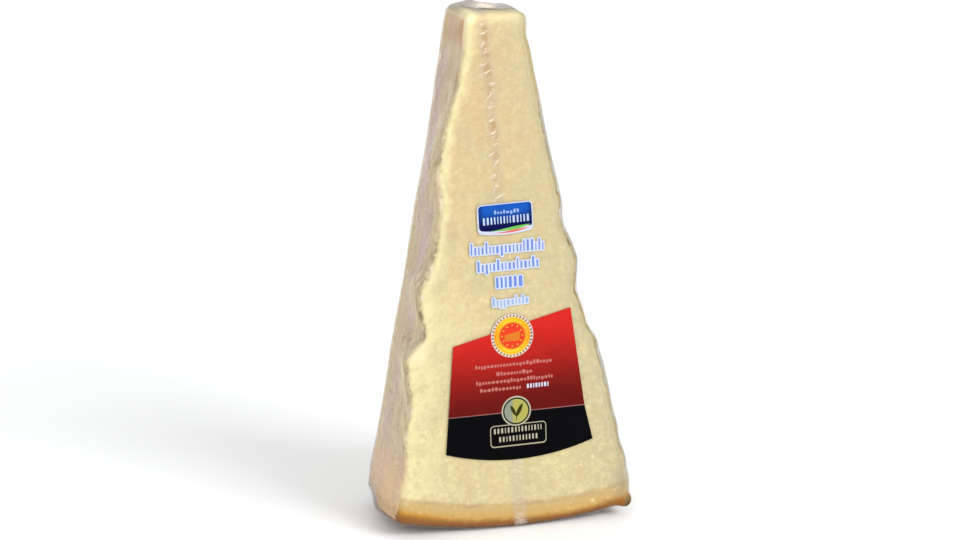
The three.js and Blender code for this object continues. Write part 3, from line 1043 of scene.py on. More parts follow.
def printed(paint, colour):
    """Finishes print on a label: its colour, with the paper's faint mottle in its shade, shine and relief."""
    mottle = paint.noise(0.8)
    shader = paint.principled(
        {
            "Base Color": paint.mix(paint.noise(9).eased(0.4, 0.8) * 0.1, colour, (0.0, 0.0, 0.0)),
            "Roughness": mottle * 0.1 + 0.38,
            "Normal": paint.bump(mottle, 0.02, 0.4),
            "Specular IOR Level": 0.04,
        }
    )
    return paint.finish(shader)


def label_material():
    """The main label's fields: a red that darkens downwards, a thin rule, and black below it."""
    hues = look("label_look")
    paint = Paint("main_label_print")
    x, _, z = paint.axes()
    above = z - (RULE["z"] + (x - RULE["x"]) * RULE["slope"])
    red = paint.mix((above - x * 0.08).eased(0.5, 38.5), hues.red_dark, hues.red)
    rule = above.fading(0.1, 0.24) * above.eased(-0.24, -0.1)
    fields = paint.layered(hues.black, (above.eased(-0.05, 0.05), red), (rule * 0.85, hues.rule))
    return printed(paint, fields)


def badge_material():
    """The badge's field: blue above, navy below, with a soft slanting border between them, and darker towards
    both ends.
    """
    hues = look("label_look")
    paint = Paint("badge_field_print")
    x, _, z = paint.axes()
    share = ((z - BADGE["z"]) - (x - BADGE["x"]) * 0.06).eased(-3.4, 3.8)
    half = BADGE["width"] / 2
    ends = x.away_from(BADGE["x"]).eased(half - 3.0, half - 0.6)
    return printed(paint, paint.mix(share * (1 - ends * 0.6), hues.navy, hues.blue))


def seal_material():
    """The seal's fields, inwards: a ring of marks, an amber line, yellow, an amber ring and vermilion."""
    hues = look("label_look")
    paint = Paint("seal_print")
    x, _, z = paint.axes()
    across = x - SEAL["x"]
    upwards = z - SEAL["z"]
    away = (across**2 + upwards**2) ** 0.5
    turns = upwards.maths("ARCTAN2", across) * (SEAL["marks"] / (2 * math.pi))
    mark = turns.maths("PINGPONG", 0.5).eased(0.24, 0.34)
    edge, ring, disc = SEAL["radius"], SEAL["ring"], SEAL["disc"]
    rim = away.eased(edge - 1.3, edge - 1.15)
    line = away.eased(edge - 2.1, edge - 2.0) * away.fading(edge - 1.85, edge - 1.7)
    glow = paint.mix(upwards.maths("ABSOLUTE").eased(1, 7), hues.amber, hues.yellow)
    colour = paint.layered(
        paint.mix(0.5, hues.yellow, glow),
        (rim * 0.65, hues.white),
        (rim * mark * away.fading(edge - 0.3, edge - 0.15) * 0.9, hues.tick),
        (line * 0.5, hues.amber),
        (away.fading(ring, ring + 0.15), hues.amber),
        (away.fading(disc, disc + 0.15), hues.vermilion),
    )
    return printed(paint, colour)


def emblem_material():
    """The emblem's fields, from its middle outwards: a gold disc, a dark gap and a cream ring."""
    hues = look("label_look")
    paint = Paint("emblem_print")
    x, _, z = paint.axes()
    away = ((x - EMBLEM["x"]) ** 2 + (z - EMBLEM["z"]) ** 2) ** 0.5
    edge = EMBLEM["radius"]
    colour = paint.layered(
        hues.steel,
        (x.eased(EMBLEM["x"] - 2.4, EMBLEM["x"] - 0.6), hues.gold),
        (away.eased(edge - 1.3, edge - 1.15), hues.black),
        (away.eased(edge - 0.7, edge - 0.55), hues.cream),
    )
    return printed(paint, colour)


# ---------------------------------------------------------------------------------------------------
# Sizes and places of the print, in millimetres, seen from the front

SEAL = {
    "x": -0.5,
    "z": 82.0,
    "radius": 9.0,
    "ring": 5.6,
    "disc": 5.1,
    "marks": 36,
    "dots": 12,
    "dot_ring": 4.3,
}
SEAL_WEDGE = ((-3.2, 0.4), (-3.2, -2.2), (3.0, -2.2), (3.4, 1.9))  # its corners, from the seal's middle
BADGE = {"x": -2.9, "z": 130.8, "width": 23.4, "height": 11.8, "radius": 1.8, "turn": 0.042, "bow": 1.0}
# The badge's stripes: name, colour, layer, both ends from the badge's middle, bow and thickness.
STRIPES = (
    ("badge_pale_stripe", "white", 2, (-11.2, -6.1), (11.4, -3.6), -0.9, 2.6),
    ("badge_green_stripe", "green", 3, (-7.0, -5.3), (10.6, -3.0), -0.5, 1.3),
    ("badge_coral_stripe", "coral", 3, (-5.6, -6.2), (10.4, -4.2), -0.5, 0.9),
)
LABEL = {
    "top_left": (-25.4, 79.0),
    "top_right": (24.5, 92.0),
    "right_knee": (30.4, 50.6),
    "bottom_right": (33.9, 35.8),
    "bottom_left": (-29.0, 34.2),
    "arc_radius": 99.0,
}
RULE = {"x": -27.5, "z": 49.6, "slope": 0.0173}
EMBLEM = {"x": 0.9, "z": 50.4, "radius": 6.3}
# The emblem's leaves and stem: lean across, height of the middle, half the length, and half the width.
LEAVES = ((1.0, 0.25, 3.1, 0.85), (-1.0, 0.2, 2.5, 0.75), (0.15, -1.9, 2.4, 0.2))
PLAQUE = {"x": 1.75, "z": 40.3, "width": 24.0, "height": 9.3, "radius": 1.6, "turn": 0.022, "line": 0.34}
LABEL_LIFT = 0.55  # from the film's form to a label's upper face
LABEL_THICKNESS = 0.45
FILM_PRINT_LIFT = 0.3  # the same, for print that is on the film itself
PRINT_STEP = 0.03  # between one layer of print and the next
SURROUND = 0.6  # how far the white surround of the word bars stands out from them

# Rows of bars that stand for words: both ends of the line that they stand on, the height of most bars
# and of the taller ones, how many bars there are, the gap between them, and a seed for their widths.
Row = namedtuple("Row", "start end low tall count gap seed")
WORD_ROWS = (
    Row((-17.4, 116.1), (13.2, 116.8), 3.0, 4.7, 20, 0.95, 20),
    Row((-14.6, 109.0), (11.0, 109.9), 2.9, 4.4, 16, 0.95, 21),
    Row((-6.9, 101.9), (4.2, 102.3), 4.5, 4.5, 6, 0.95, 22),
)
PALE_ROW = Row((-8.4, 94.5), (6.5, 95.2), 2.2, 3.4, 10, 0.95, 27)
BADGE_ROW = Row((-12.2, 128.0), (7.1, 128.9), 3.0, 3.0, 14, 0.8, 5)
BADGE_THIN_ROW = Row((-7.6, 132.3), (2.8, 132.7), 1.0, 1.6, 8, 0.4, 6)
SMALL_ROWS = (
    Row((-16.3, 69.0), (16.3, 69.9), 1.2, 1.7, 24, 0.36, 30),
    Row((-7.4, 65.6), (7.9, 66.0), 1.2, 1.7, 11, 0.36, 31),
    Row((-16.0, 62.3), (16.8, 63.2), 1.2, 1.7, 24, 0.36, 32),
    Row((-14.4, 59.2), (3.0, 59.6), 1.2, 1.6, 12, 0.36, 33),
)
BOLD_ROW = Row((5.6, 59.5), (14.9, 59.8), 1.9, 1.9, 8, 0.5, 37)
PLAQUE_ROWS = (
    Row((-8.7, 41.2), (11.7, 41.7), 2.3, 2.3, 15, 0.8, 40),
    Row((-6.5, 37.6), (9.9, 38.0), 2.3, 2.3, 12, 0.8, 41),
)


def line_axes(start, end):
    """The length of the line between two points, its direction and the direction square to it, upwards."""
    run = np.subtract(end, start)
    length_of_run = np.linalg.norm(run)
    along = run / length_of_run
    return length_of_run, along, np.array([-along[1], along[0]])


def crescent(start, end, bow, thickness, points=20):
    """A slender shape with pointed ends: a parabola's arc, whose thickness is a sine's half wave."""
    _, _, up = line_axes(start, end)
    share = np.linspace(0, 1, points)[:, None]
    middle = blend(np.array(start), np.array(end), share) + up * bow * 4 * share * (1 - share)
    half = up * thickness / 2 * np.sin(math.pi * share**1.4)
    return np.concatenate([middle - half, (middle + half)[-2:0:-1]])


def bar_row(row, grow=0.0):
    """Outlines of a row of rounded bars of uneven widths: some are taller and some reach below the line."""
    rng = np.random.default_rng(row.seed)
    run, along, up = line_axes(row.start, row.end)
    widths = rng.uniform(0.6, 1.4, row.count)
    widths *= (run - row.gap * (row.count - 1)) / widths.sum()
    lefts = np.cumsum(np.append(0, widths[:-1] + row.gap))
    kinds = rng.choice(3, row.count, p=(0.62, 0.24, 0.14))
    kinds[0] = 1
    tops = np.where(kinds == 1, row.tall, row.low)
    feet = np.where(kinds == 2, -0.7 * (row.tall - row.low), 0)
    turn = math.atan2(along[1], along[0])
    outlines = []
    for left, width, top, foot in zip(lefts, widths, tops, feet):
        middle = row.start + along * (left + width / 2) + up * (top + foot) / 2
        size = np.array([width, top - foot]) + 2 * grow
        outlines.append(rounded(*middle, *size, size.min() * 0.38, turn))
    return np.array(outlines)


def bar_rows(rows, grow=0.0):
    """The outlines of several rows in one array."""
    return np.concatenate([bar_row(row, grow) for row in rows])


def label_outline():
    """The main label: straight slanting top and splayed sides, and a circle's arc below."""
    start, end = np.array(LABEL["bottom_left"]), np.array(LABEL["bottom_right"])
    chord, _, up = line_axes(start, end)
    centre = (start + end) / 2 + up * math.sqrt(LABEL["arc_radius"] ** 2 - chord**2 / 4)
    first, last = (math.atan2(*(point - centre)[::-1]) for point in (start, end))
    angle = np.linspace(first, last, 30)
    arc = centre + LABEL["arc_radius"] * np.stack([np.cos(angle), np.sin(angle)], axis=-1)
    corners = [end, *(np.array(LABEL[name]) for name in ("right_knee", "top_right", "top_left")), start]
    steps = (6, 14, 20, 16)
    shares = [np.linspace(0, 1, count, endpoint=False)[:, None] for count in steps]
    sides = [blend(*corners[index : index + 2], share) for index, share in enumerate(shares)]
    return np.concatenate([arc[:-1], *sides])


# ---------------------------------------------------------------------------------------------------
# Operators


class CheeseOperator:
    """What the operators share: each run is listed in the history and can be undone."""

    bl_options = {"REGISTER", "UNDO"}


class CHEESE_OT_body(CheeseOperator, bpy.types.Operator):
    """Makes the cheese: sawn front and back, broken sides with crags, chipped edges and the rind"""

    bl_idname = "cheese.body"
    bl_label = "Cheese"

    def execute(self, context):
        curl = mm("cheese_look", "rind_curl")
        wedge = Wedge(mm("cheese_look", "gap"), NOTCHES, bulge_share=0.35, rind_curl=curl)
        loop = loop_marks(front=96, back=56, side=58, corner=8)
        rows = row_marks(wedge, walls=285, rounding=9, rind_rings=12, tip_rings=9)
        points = wedge.surface(rows, loop)
        normals = grid_normals(points)
        x, y, z = np.moveaxis(points, -1, 0)
        sideways = np.abs(normals[..., 0]) ** 2
        crags = self.crags(wedge, points, sideways)
        chips = self.chips(wedge, points, normals)
        pits, pit_shade = self.pits(wedge, points)
        knob, heel, lit_notch = (near(points, place) for place in (KNOB, HEEL, LIT_NOTCH))
        grain = GRAIN_DEPTH * (1 + noise(points, 2.2, 31, 2))
        depth = crags + chips + pits + grain - KNOB["out"] * knob - HEEL["out"] * heel
        attributes = {
            "above_rind": z - wedge.rind_rise(x, y),
            # painted shade in the crags and chips
            "crag_shade": eased(0.5 * crags + 0.6 * chips, 0.2, 1.0) * 0.5,
            # the painted shade in the front edges' crags, and the knob of bare rind
            "pit": np.maximum(pit_shade, 2.2 * knob * eased(x, 47.0, 49.0)),
            # painted light on the break in the front left edge, which also thins the broken sides' colour
            # there
            "lit_notch": lit_notch,
            "side": sideways * (1 - 0.5 * lit_notch),
            "from_left": x - wedge.left_x(y, z),
            "from_right": wedge.right_x(y, z) - x,
        }
        skin_piece("cheese_body", points - normals * depth[..., None], cheese_material(), attributes)
        return {"FINISHED"}

    @staticmethod
    def crags(wedge, points, sideways):
        """Flaky crags on the two broken sides, fading out towards the rind, the tip and the back edges."""
        _, y, z = np.moveaxis(points, -1, 0)
        wall = eased(z, 2, 9) * fading(z, HEIGHT - 4, HEIGHT) * (1 - 0.8 * bell(y - wedge.half_depth(z), 4.0))
        broad = noise(points, 13.0, 3, 2)
        flaky = 1 - np.abs(noise(points * [1, 1, 0.7], 6.0, 11, 3)) * 1.6
        return mm("cheese_look", "crag_depth") * eased(0.5 * broad + 0.5 * flaky, 0.0, 1.0) * sideways * wall

    @staticmethod
    def chips(wedge, points, normals):
        """Chips with sharp borders along the upright edges: a step of smooth noise, near an edge only."""
        x, y, z = np.moveaxis(points, -1, 0)
        to_face = wedge.half_depth(z) - np.abs(y)
        to_side = np.minimum(x - wedge.left_x(y, z), wedge.right_x(y, z) - x)
        at_edge = bell(to_face, 5.0) * np.abs(normals[..., 0])
        at_edge = at_edge + 0.5 * bell(to_side, 2.0) * np.abs(normals[..., 1])
        large = eased(noise(points, 5.0, 23, 2), 0.05, 0.3)
        small = eased(noise(points, 1.8, 29, 2), 0.0, 0.3)
        wall = eased(z, 12, 30) * (1 - 0.75 * eased(z, 150, 175)) * fading(z, HEIGHT - 8, HEIGHT - 3)
        wall = wall * (1 - 0.8 * eased(y, 0, 10))
        return mm("cheese_look", "chip_depth") * at_edge * (large + 0.5 * small) * wall

    @staticmethod
    def pits(wedge, points):
        """Crags at given heights in the front edges: their depth, and how dark the shade painted in them is.
        """
        total = np.zeros(points.shape[:2])
        pit_shade = np.zeros(points.shape[:2])
        for name, pits in PITS.items():
            face = wedge.left_x if name == "front_left" else wedge.right_x
            behind, to_left = PIT_MIDDLES[name]
            for z, deep, reach, dark in pits:
                y = behind - wedge.half_depth(z)
                middle = np.array([face(y, z) - to_left, y, z])
                away = np.linalg.norm((points - middle) * [1, 1, 0.75], axis=-1)
                away = away * (1 + 0.3 * noise(points, 1.5, 37))
                total += deep * bell(away, reach)
                pit_shade = np.maximum(pit_shade, dark * bell(away, 1.2 * reach))
        return total, pit_shade


class CHEESE_OT_film(CheeseOperator, bpy.types.Operator):
    """Makes the clear film drawn tight round the cheese, with its tension creases"""

    bl_idname = "cheese.film"
    bl_label = "Film"

    def execute(self, context):
        wedge = Wedge()
        loop = loop_marks(front=110, back=80, side=56, corner=6)
        rows = row_marks(wedge, walls=230, rounding=6, rind_rings=14, tip_rings=12)
        points = wedge.surface(rows, loop)
        normals = grid_normals(points)
        crease = self.creases(points, normals)
        above = points[..., 2] - wedge.rind_rise(points[..., 0], points[..., 1])
        shade = 0.4 * bell(above, 1.0) * fading(-normals[..., 2], 0.8, 1)
        attributes = {
            # painted highlights along the film's creases and puckers
            "crease": eased(crease, 0.45, 1.2) * 0.6,
            # painted reflection and shade on the broken sides
            "veil_and_reflection": self.veil_and_reflection(points, normals),
            "shade": np.clip(shade, 0, 1),
            "absent": self.absence(points, normals, above),
        }
        lift = mm("film_look", "crease") * crease + 0.75 * KNOB["out"] * near(points, KNOB)
        lift = lift + HEEL["out"] * near(points, HEEL)
        points = points + normals * lift[..., None]
        points[..., 2] = np.maximum(points[..., 2], 0)
        skin_piece("film_wrap", points, film_material("clear_film"), attributes)
        return {"FINISHED"}

    @staticmethod
    def veil_and_reflection(points, normals):
        """How strong the painted reflection and shade on the sides' film is: in patches, less by the tip, at
        the foot and at the front right.
        """
        _, y, z = np.moveaxis(points, -1, 0)
        sideways = eased(normals[..., 0] ** 2 + 0.55 * noise(points, 2.6, 57, 2) - 0.05, 0.5, 0.95)
        patchy = 0.85 + 0.3 * noise(points * [1, 1, 0.25], 9.0, 53, 2)
        right_front = eased(normals[..., 0], 0, 0.5) * eased(-y, -4, 14)
        veil_and_reflection = sideways * patchy * (1 - 0.92 * eased(z, 190, 203)) * (1 - 0.85 * bell(z - 5, 20))
        # the film's painted reflection is left off the front right and off the painted-light break
        return veil_and_reflection * (1 - 0.7 * right_front) * (1 - near(points, LIT_NOTCH))

    @staticmethod
    def absence(points, normals, above):
        """Where the film is quite clear: low in front, by the tip, on the front right edge and its knob."""
        x, y, z = np.moveaxis(points, -1, 0)
        foot = 0.65 * bell(above - 3.0, 5.0) * eased(-normals[..., 1], 0.3, 0.9)
        tip = 0.85 * eased(z, *TIP_CLEARS) * eased(-y, -2, 6) * (1 - 0.4 * eased(x, -8, 4))
        right_edge = eased(normals[..., 0], 0.02, 0.3) * eased(-normals[..., 1], -0.05, 0.2)
        edges = 0.97 * right_edge * eased(z, 20, 40) + 2.2 * near(points, KNOB)
        return np.clip(foot + tip + edges, 0, 1)

    @staticmethod
    def creases(points, normals):
        """Ridges that run up the sides, a fan at each end of them, and a few puckers with painted highlights.
        """
        x, y, z = np.moveaxis(points, -1, 0)
        sideways = normals[..., 0] ** 2
        wander = noise(points * [1, 1, 0.35], 14.0, 41, 2)
        upright = np.maximum(np.sin(y / 1.8 + 5.0 * wander + z / 60), 0) ** 3
        upright = upright * eased(noise(points * [1, 1, 0.2], 9.0, 47, 2), 0.0, 0.8) * 0.4
        tight = sideways * eased(z, 3, 12) * fading(z, HEIGHT - 6, HEIGHT)
        ends = bell(z - 4, 8) + bell(HEIGHT - z, 5)
        fan = np.maximum(np.sin(7 * np.arctan2(z - 30, np.abs(x) - 20) + 3 * wander), 0) ** 3
        fans = 0.6 * fan * ends * (1 - np.abs(normals[..., 1]))
        rng = np.random.default_rng(43)
        centres = np.stack([rng.uniform(-20, 20, PUCKERS), rng.choice(PUCKER_HEIGHTS, PUCKERS)], axis=1)
        centres[:, 1] += rng.normal(0, 3, PUCKERS)
        half_lengths = rng.uniform(1.0, 3.2, PUCKERS)
        puckers = dashes(y, z, centres, half_lengths, 0.5, rng.normal(1.4, 0.35, PUCKERS))
        centres = np.stack([rng.uniform(4, 14, GLINTS), rng.uniform(176, 194, GLINTS)], axis=1)
        half_lengths = rng.uniform(1.2, 3.0, GLINTS)
        glints = dashes(y, z, centres, half_lengths, 0.8, rng.normal(1.5, 0.15, GLINTS))
        # the puckers and glints also paint highlights on the sides
        return upright * tight + fans + (1.1 * puckers + 2.2 * glints * (x < 0)) * sideways


class CHEESE_OT_seam(CheeseOperator, bpy.types.Operator):
    """Makes the film's lapped seam down the front, with its crinkles"""

    bl_idname = "cheese.seam"
    bl_label = "Film seam"

    def execute(self, context):
        wedge = Wedge()
        rows = row_marks(wedge, walls=620, rounding=8, rind_rings=24, tip_rings=14)
        level, inset, share = (values[:, None] for values in rows)
        half = mm("film_look", "seam_width") / 2
        across = np.linspace(-1, 1, 49)[None, :]
        middle = blend(mm("film_look", "seam_foot"), mm("film_look", "seam_top"), level / HEIGHT)
        middle = middle - 0.5 * np.sin(level / 31)
        pole = np.where(level < HEIGHT / 2, wedge.stand_x, wedge.tip_x)
        x = blend(pole, middle + across * half, blend(share, 1, 0.8))
        y = -(wedge.half_depth(level) - inset) * share + 0 * x
        points = np.stack([x, y, wedge.height(level, x, y)], axis=-1)
        up = np.gradient(points, axis=0)
        normals = np.cross(np.gradient(points, axis=1), up)
        normals /= np.linalg.norm(normals, axis=-1, keepdims=True)
        travel = np.cumsum(np.linalg.norm(up, axis=-1), axis=0)
        crest, attributes = self.crinkles(across * half + 0 * travel, travel, points[..., 2])
        lift = mm("film_look", "seam_lift") * (1 - across**8) + mm("film_look", "crinkle") * crest
        points = points + normals * (lift + SEAM_GAP)[..., None]
        points[..., 2] = np.maximum(points[..., 2], 0)
        sheet_piece("film_seam", points, film_material("seam_film", -0.02, glancing=0.06), attributes)
        return {"FINISHED"}

    def crinkles(self, u, v, z):
        """Puckers drawn together down the strip, and a pale crinkled lane in it below the main label.

        Each pucker is a slanting crest with a painted highlight; every other one has a shorter twin. Soft
        painted shade, fine flecks of painted highlight and strokes of painted shade that slant the same way
        lie between them; the lane's crinkles and lines carry painted highlights too. Gives the crests' height
        and the attributes of the film's material.
        """
        rng = np.random.default_rng(61)
        places = np.cumsum(rng.uniform(2.6, 5.6, 90))
        places = places[places < v.max()]
        count = len(places)
        centres = np.stack([rng.normal(-0.4, 0.9, count), places], axis=1)
        reach = rng.uniform(1.0, 2.6, count)
        angles = rng.normal(0.4, 0.15, count)
        crest = dashes(u, v, centres, reach, rng.uniform(0.28, 0.42, count), angles)
        twins = centres[::2] + [0.3, -0.9] + rng.normal(0, 0.3, centres[::2].shape)
        crest += 0.6 * dashes(u, v, twins, 0.7 * reach[::2], 0.26, angles[::2])
        crest += 0.4 * self.strokes(rng, u, v, PALE_STROKES)
        place = on_ground(u, v)
        patchy = 0.6 + 0.8 * noise(place, 5.0, 71, 2)
        shade = 0.5 * dashes(u, v, centres + [0.8, -1.5], 1.2 + 0.4 * reach, 1.2, angles)
        shade = (shade + 0.75 * bell(u - 0.6, 2.3)) * patchy + 0.5 * self.strokes(rng, u, v, DARK_STROKES)
        upper = eased(z, *CRINKLES_START) * (0.15 + 0.85 * eased(z, *CRINKLES_FULL))
        below = fading(z, *LANE_ENDS) * eased(z, 0.5, 2)
        lane = eased(u, -3.2, -1.8) * fading(u, 1.6, 3.0)
        fine = eased(noise(place * [0.5, 1.6, 1], 0.9, 77, 2), -0.2, 0.5) * lane
        lines = (bell(u - 4.2, 0.16) + 0.6 * bell(u - 5.2, 0.14)) * bell(z - 7, 7)
        lines = lines + bell(u + 2.7, 0.14) + bell(u - 2.7, 0.14)
        # painted highlights on the crests, and on the lane's fine crinkles and lines
        crest = np.clip(crest, 0, 1.2) * upper + (0.5 * fine + 0.2 * lines) * below
        return crest, {
            # painted highlights on the crinkles, and painted shade between them
            "crease": np.clip(0.72 * crest, 0, 1),
            "shade": np.clip(shade * upper + 0.3 * lane * below, 0, 1),
            "veil_and_reflection": 0.2 * lane * below,
            "absent": eased(np.abs(u), 3.0, 5.4),
        }

    @staticmethod
    def strokes(rng, u, v, count):
        """Short thin strokes scattered down the strip, all slanting up to the right."""
        centres = np.stack([rng.normal(0.4, 1.2, count), rng.uniform(0, v.max(), count)], axis=1)
        half_lengths = rng.uniform(0.4, 1.2, count)
        half_widths = rng.uniform(0.18, 0.3, count)
        return dashes(u, v, centres, half_lengths, half_widths, rng.normal(0.45, 0.25, count))


class CHEESE_OT_gathers(CheeseOperator, bpy.types.Operator):
    """Makes the crumpled film gathered on the tip and folded flat under the rind"""

    bl_idname = "cheese.gathers"
    bl_label = "Gathered film"

    def execute(self, context):
        self.tip()
        self.heel()
        return {"FINISHED"}

    @staticmethod
    def folds(x, y, seed):
        """Sharp ridges in two directions, bent by smooth noise."""
        place = on_ground(x, y)
        wander = noise(place, 7.0, seed, 2)
        first = np.maximum(np.sin(y / 1.9 + 0.35 * x + 4.0 * wander), 0) ** 3
        second = np.maximum(np.sin(x / 1.5 - 0.4 * y + 3.5 * noise(place, 6.0, seed + 2, 2)), 0) ** 4
        return first + 0.8 * second

    def tip(self):
        """The gather on the tip: a rough sheet over the whole of it, with one knot at its back."""
        wedge = Wedge()
        u, v = np.meshgrid(np.linspace(-1, 1, 141), np.linspace(-1, 1, 101))
        x = wedge.tip_x + u * GATHER["half_width"]
        y = v * GATHER["half_depth"]
        folds = self.folds(x, y, 71)
        rim = (1 - np.abs(u) ** 8) * (1 - np.abs(v) ** 8)
        knot = bell(x - FOLD["x"], 2.2) * bell(y - FOLD["y"], 2.4)
        height = HEIGHT + wedge.tip_rise(x, y) + 0.05 + (0.15 + 0.22 * folds + 0.6 * knot) * rim
        drop = GATHER["drop"] * (bell(1 - np.abs(u), 0.08) + bell(1 - np.abs(v), 0.06))
        points = np.stack([x, y, height - drop], axis=-1)
        cloudy = eased(v + 0.5 * noise(on_ground(x, y), 6.0, 75), -0.7, 0.2) + bell(u + 0.45, 0.16)
        # a painted highlight on the gathered film in the middle of the tip; its folds get painted highlights
        # too
        bright = bell(u - 0.05, 0.3) * bell(v - 0.25, 0.35)
        missing = -v + 0.25 * noise(points, 4.0, 79) + 0.6 * eased(-u, 0.3, 0.6)
        attributes = {
            "crease": (0.15 * eased(folds, 0.6, 1.6) + 0.8 * bright) * rim,
            "veil_and_reflection": np.clip(rim * np.clip(cloudy, 0, 1) + knot, 0, 1),
            "absent": 0.9 * eased(missing, 0.1, 0.65),
        }
        film = film_material("gathered_film", 0.06, look("film_look").grey)
        sheet_piece("tip_gather", points, film, attributes)

    def heel(self):
        """The fold under the rind: a thin crumpled sheet between the film and the rind."""
        u, v = np.meshgrid(np.linspace(-1, 1, 121), np.linspace(-1, 1, 81))
        x = mm("wedge_sizes", "stand_x") + u * UNDERSIDE["half_width"]
        y = v * UNDERSIDE["half_depth"]
        folds = self.folds(x, y, 81)
        points = np.stack([x, y, Wedge().rind_rise(x, y) + 0.04 + 0.09 * folds], axis=-1)
        # crease paints highlights on the folds
        attributes = {"crease": eased(folds, 0.6, 1.4) * 0.5, "veil_and_reflection": 0.5 + 0 * folds}
        film = film_material("folded_film", 0.1, look("film_look").grey)
        sheet_piece("heel_fold", points, film, attributes)


def print_piece(name, outlines, finish, slot, layer=0, base=LABEL_LIFT, thickness=PRINT_STEP, rings=1):
    """A piece of print: thin plates, that many layers above the label or the film."""
    material = finish if isinstance(finish, bpy.types.Material) else printed(Paint(name + "_print"), finish)
    lift = base + PRINT_STEP * np.asarray(layer, float)
    vertices, faces = plates(outlines, lift, thickness, rings)
    return new_piece(name, vertices, faces, material, smooth=False)


class CHEESE_OT_label(CheeseOperator, bpy.types.Operator):
    """Makes the main label with its fields of colour"""

    bl_idname = "cheese.label"
    bl_label = "Main label"

    def execute(self, context):
        outline = label_outline()[None]
        plate = {"thickness": LABEL_THICKNESS, "rings": 12}
        piece = print_piece("main_label", outline, label_material(), "label_print", **plate)
        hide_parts("front_label")
        return {"FINISHED"}


class CHEESE_OT_badge(CheeseOperator, bpy.types.Operator):
    """Makes the badge: a pale border, a blue field, two rows of bars and a plain two-coloured stripe"""

    bl_idname = "cheese.badge"
    bl_label = "Badge"

    def execute(self, context):
        hues = look("label_look")
        slot = "badge_print"
        x, z, width, height, radius, turn, bow = BADGE.values()
        border = rounded(x, z, width, height, radius, turn, bow)
        plate = {"thickness": LABEL_THICKNESS, "rings": 3}
        piece = print_piece("badge_border", border[None], hues.white, slot, **plate)
        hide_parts("badge_label")
        field = rounded(x, z + 0.45, width - 1.1, height - 1.7, radius - 0.4, turn, 0.8 * bow)
        print_piece("badge_field", field[None], badge_material(), slot, 1, rings=3)
        print_piece("badge_bars", bar_row(BADGE_ROW), hues.pale_blue, slot, 3)
        print_piece("badge_thin_bars", bar_row(BADGE_THIN_ROW), hues.pale_word, slot, 3)
        for name, hue, layer, start, end, sag, thickness in STRIPES:
            stripe = crescent(np.add((x, z), start), np.add((x, z), end), sag, thickness)
            print_piece(name, stripe[None], getattr(hues, hue), slot, layer)
        return {"FINISHED"}


class CHEESE_OT_words(CheeseOperator, bpy.types.Operator):
    """Makes the rows of plain bars printed on the film, each with its white surround"""

    bl_idname = "cheese.words"
    bl_label = "Word bars"

    def execute(self, context):
        hues = look("label_look")
        slot = "badge_print"
        wide = bar_rows((*WORD_ROWS, PALE_ROW), SURROUND)
        layers = 0.5 * (np.arange(len(wide)) % 2)
        print_piece("word_surrounds", wide, hues.white, slot, layers, FILM_PRINT_LIFT)
        print_piece("word_bars", bar_rows(WORD_ROWS), hues.word, slot, 2, FILM_PRINT_LIFT)
        print_piece("pale_word_bars", bar_row(PALE_ROW), hues.pale_word, slot, 2, FILM_PRINT_LIFT)
        return {"FINISHED"}


class CHEESE_OT_small_print(CheeseOperator, bpy.types.Operator):
    """Makes the rows of thin bars on the main label"""

    bl_idname = "cheese.small_print"
    bl_label = "Small print"

    def execute(self, context):
        hues = look("label_look")
        print_piece("small_print_bars", bar_rows(SMALL_ROWS), hues.small, "label_print", 1)
        print_piece("bold_print_bars", bar_row(BOLD_ROW), hues.white, "label_print", 1)
        return {"FINISHED"}


class CHEESE_OT_seal(CheeseOperator, bpy.types.Operator):
    """Makes the round seal: a yellow band with a ring of marks, a red middle and a plain wedge on it"""

    bl_idname = "cheese.seal"
    bl_label = "Seal"

    def execute(self, context):
        hues = look("label_look")
        slot = "seal_print"
        middle = np.array([SEAL["x"], SEAL["z"]])
        disc = ellipse(*middle, SEAL["radius"], SEAL["radius"], 96)
        plate = {"thickness": LABEL_THICKNESS, "rings": 6}
        piece = print_piece("seal_disc", disc[None], seal_material(), slot, 2, **plate)
        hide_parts("round_seal")
        corners = middle + SEAL_WEDGE
        shares = np.linspace(0, 1, 6, endpoint=False)[:, None]
        sides = [blend(start, end, shares) for start, end in zip(corners, np.roll(corners, -1, axis=0))]
        print_piece("seal_wedge", np.concatenate(sides)[None], hues.amber, slot, 3)
        angles = np.arange(SEAL["dots"]) / SEAL["dots"] * 2 * math.pi
        places = SEAL["dot_ring"] * np.stack([np.cos(angles), np.sin(angles)], axis=-1) + middle
        dots = np.array([ellipse(*place, 0.32, 0.32, 10) for place in places])
        print_piece("seal_dots", dots, hues.yellow, slot, 3)
        return {"FINISHED"}


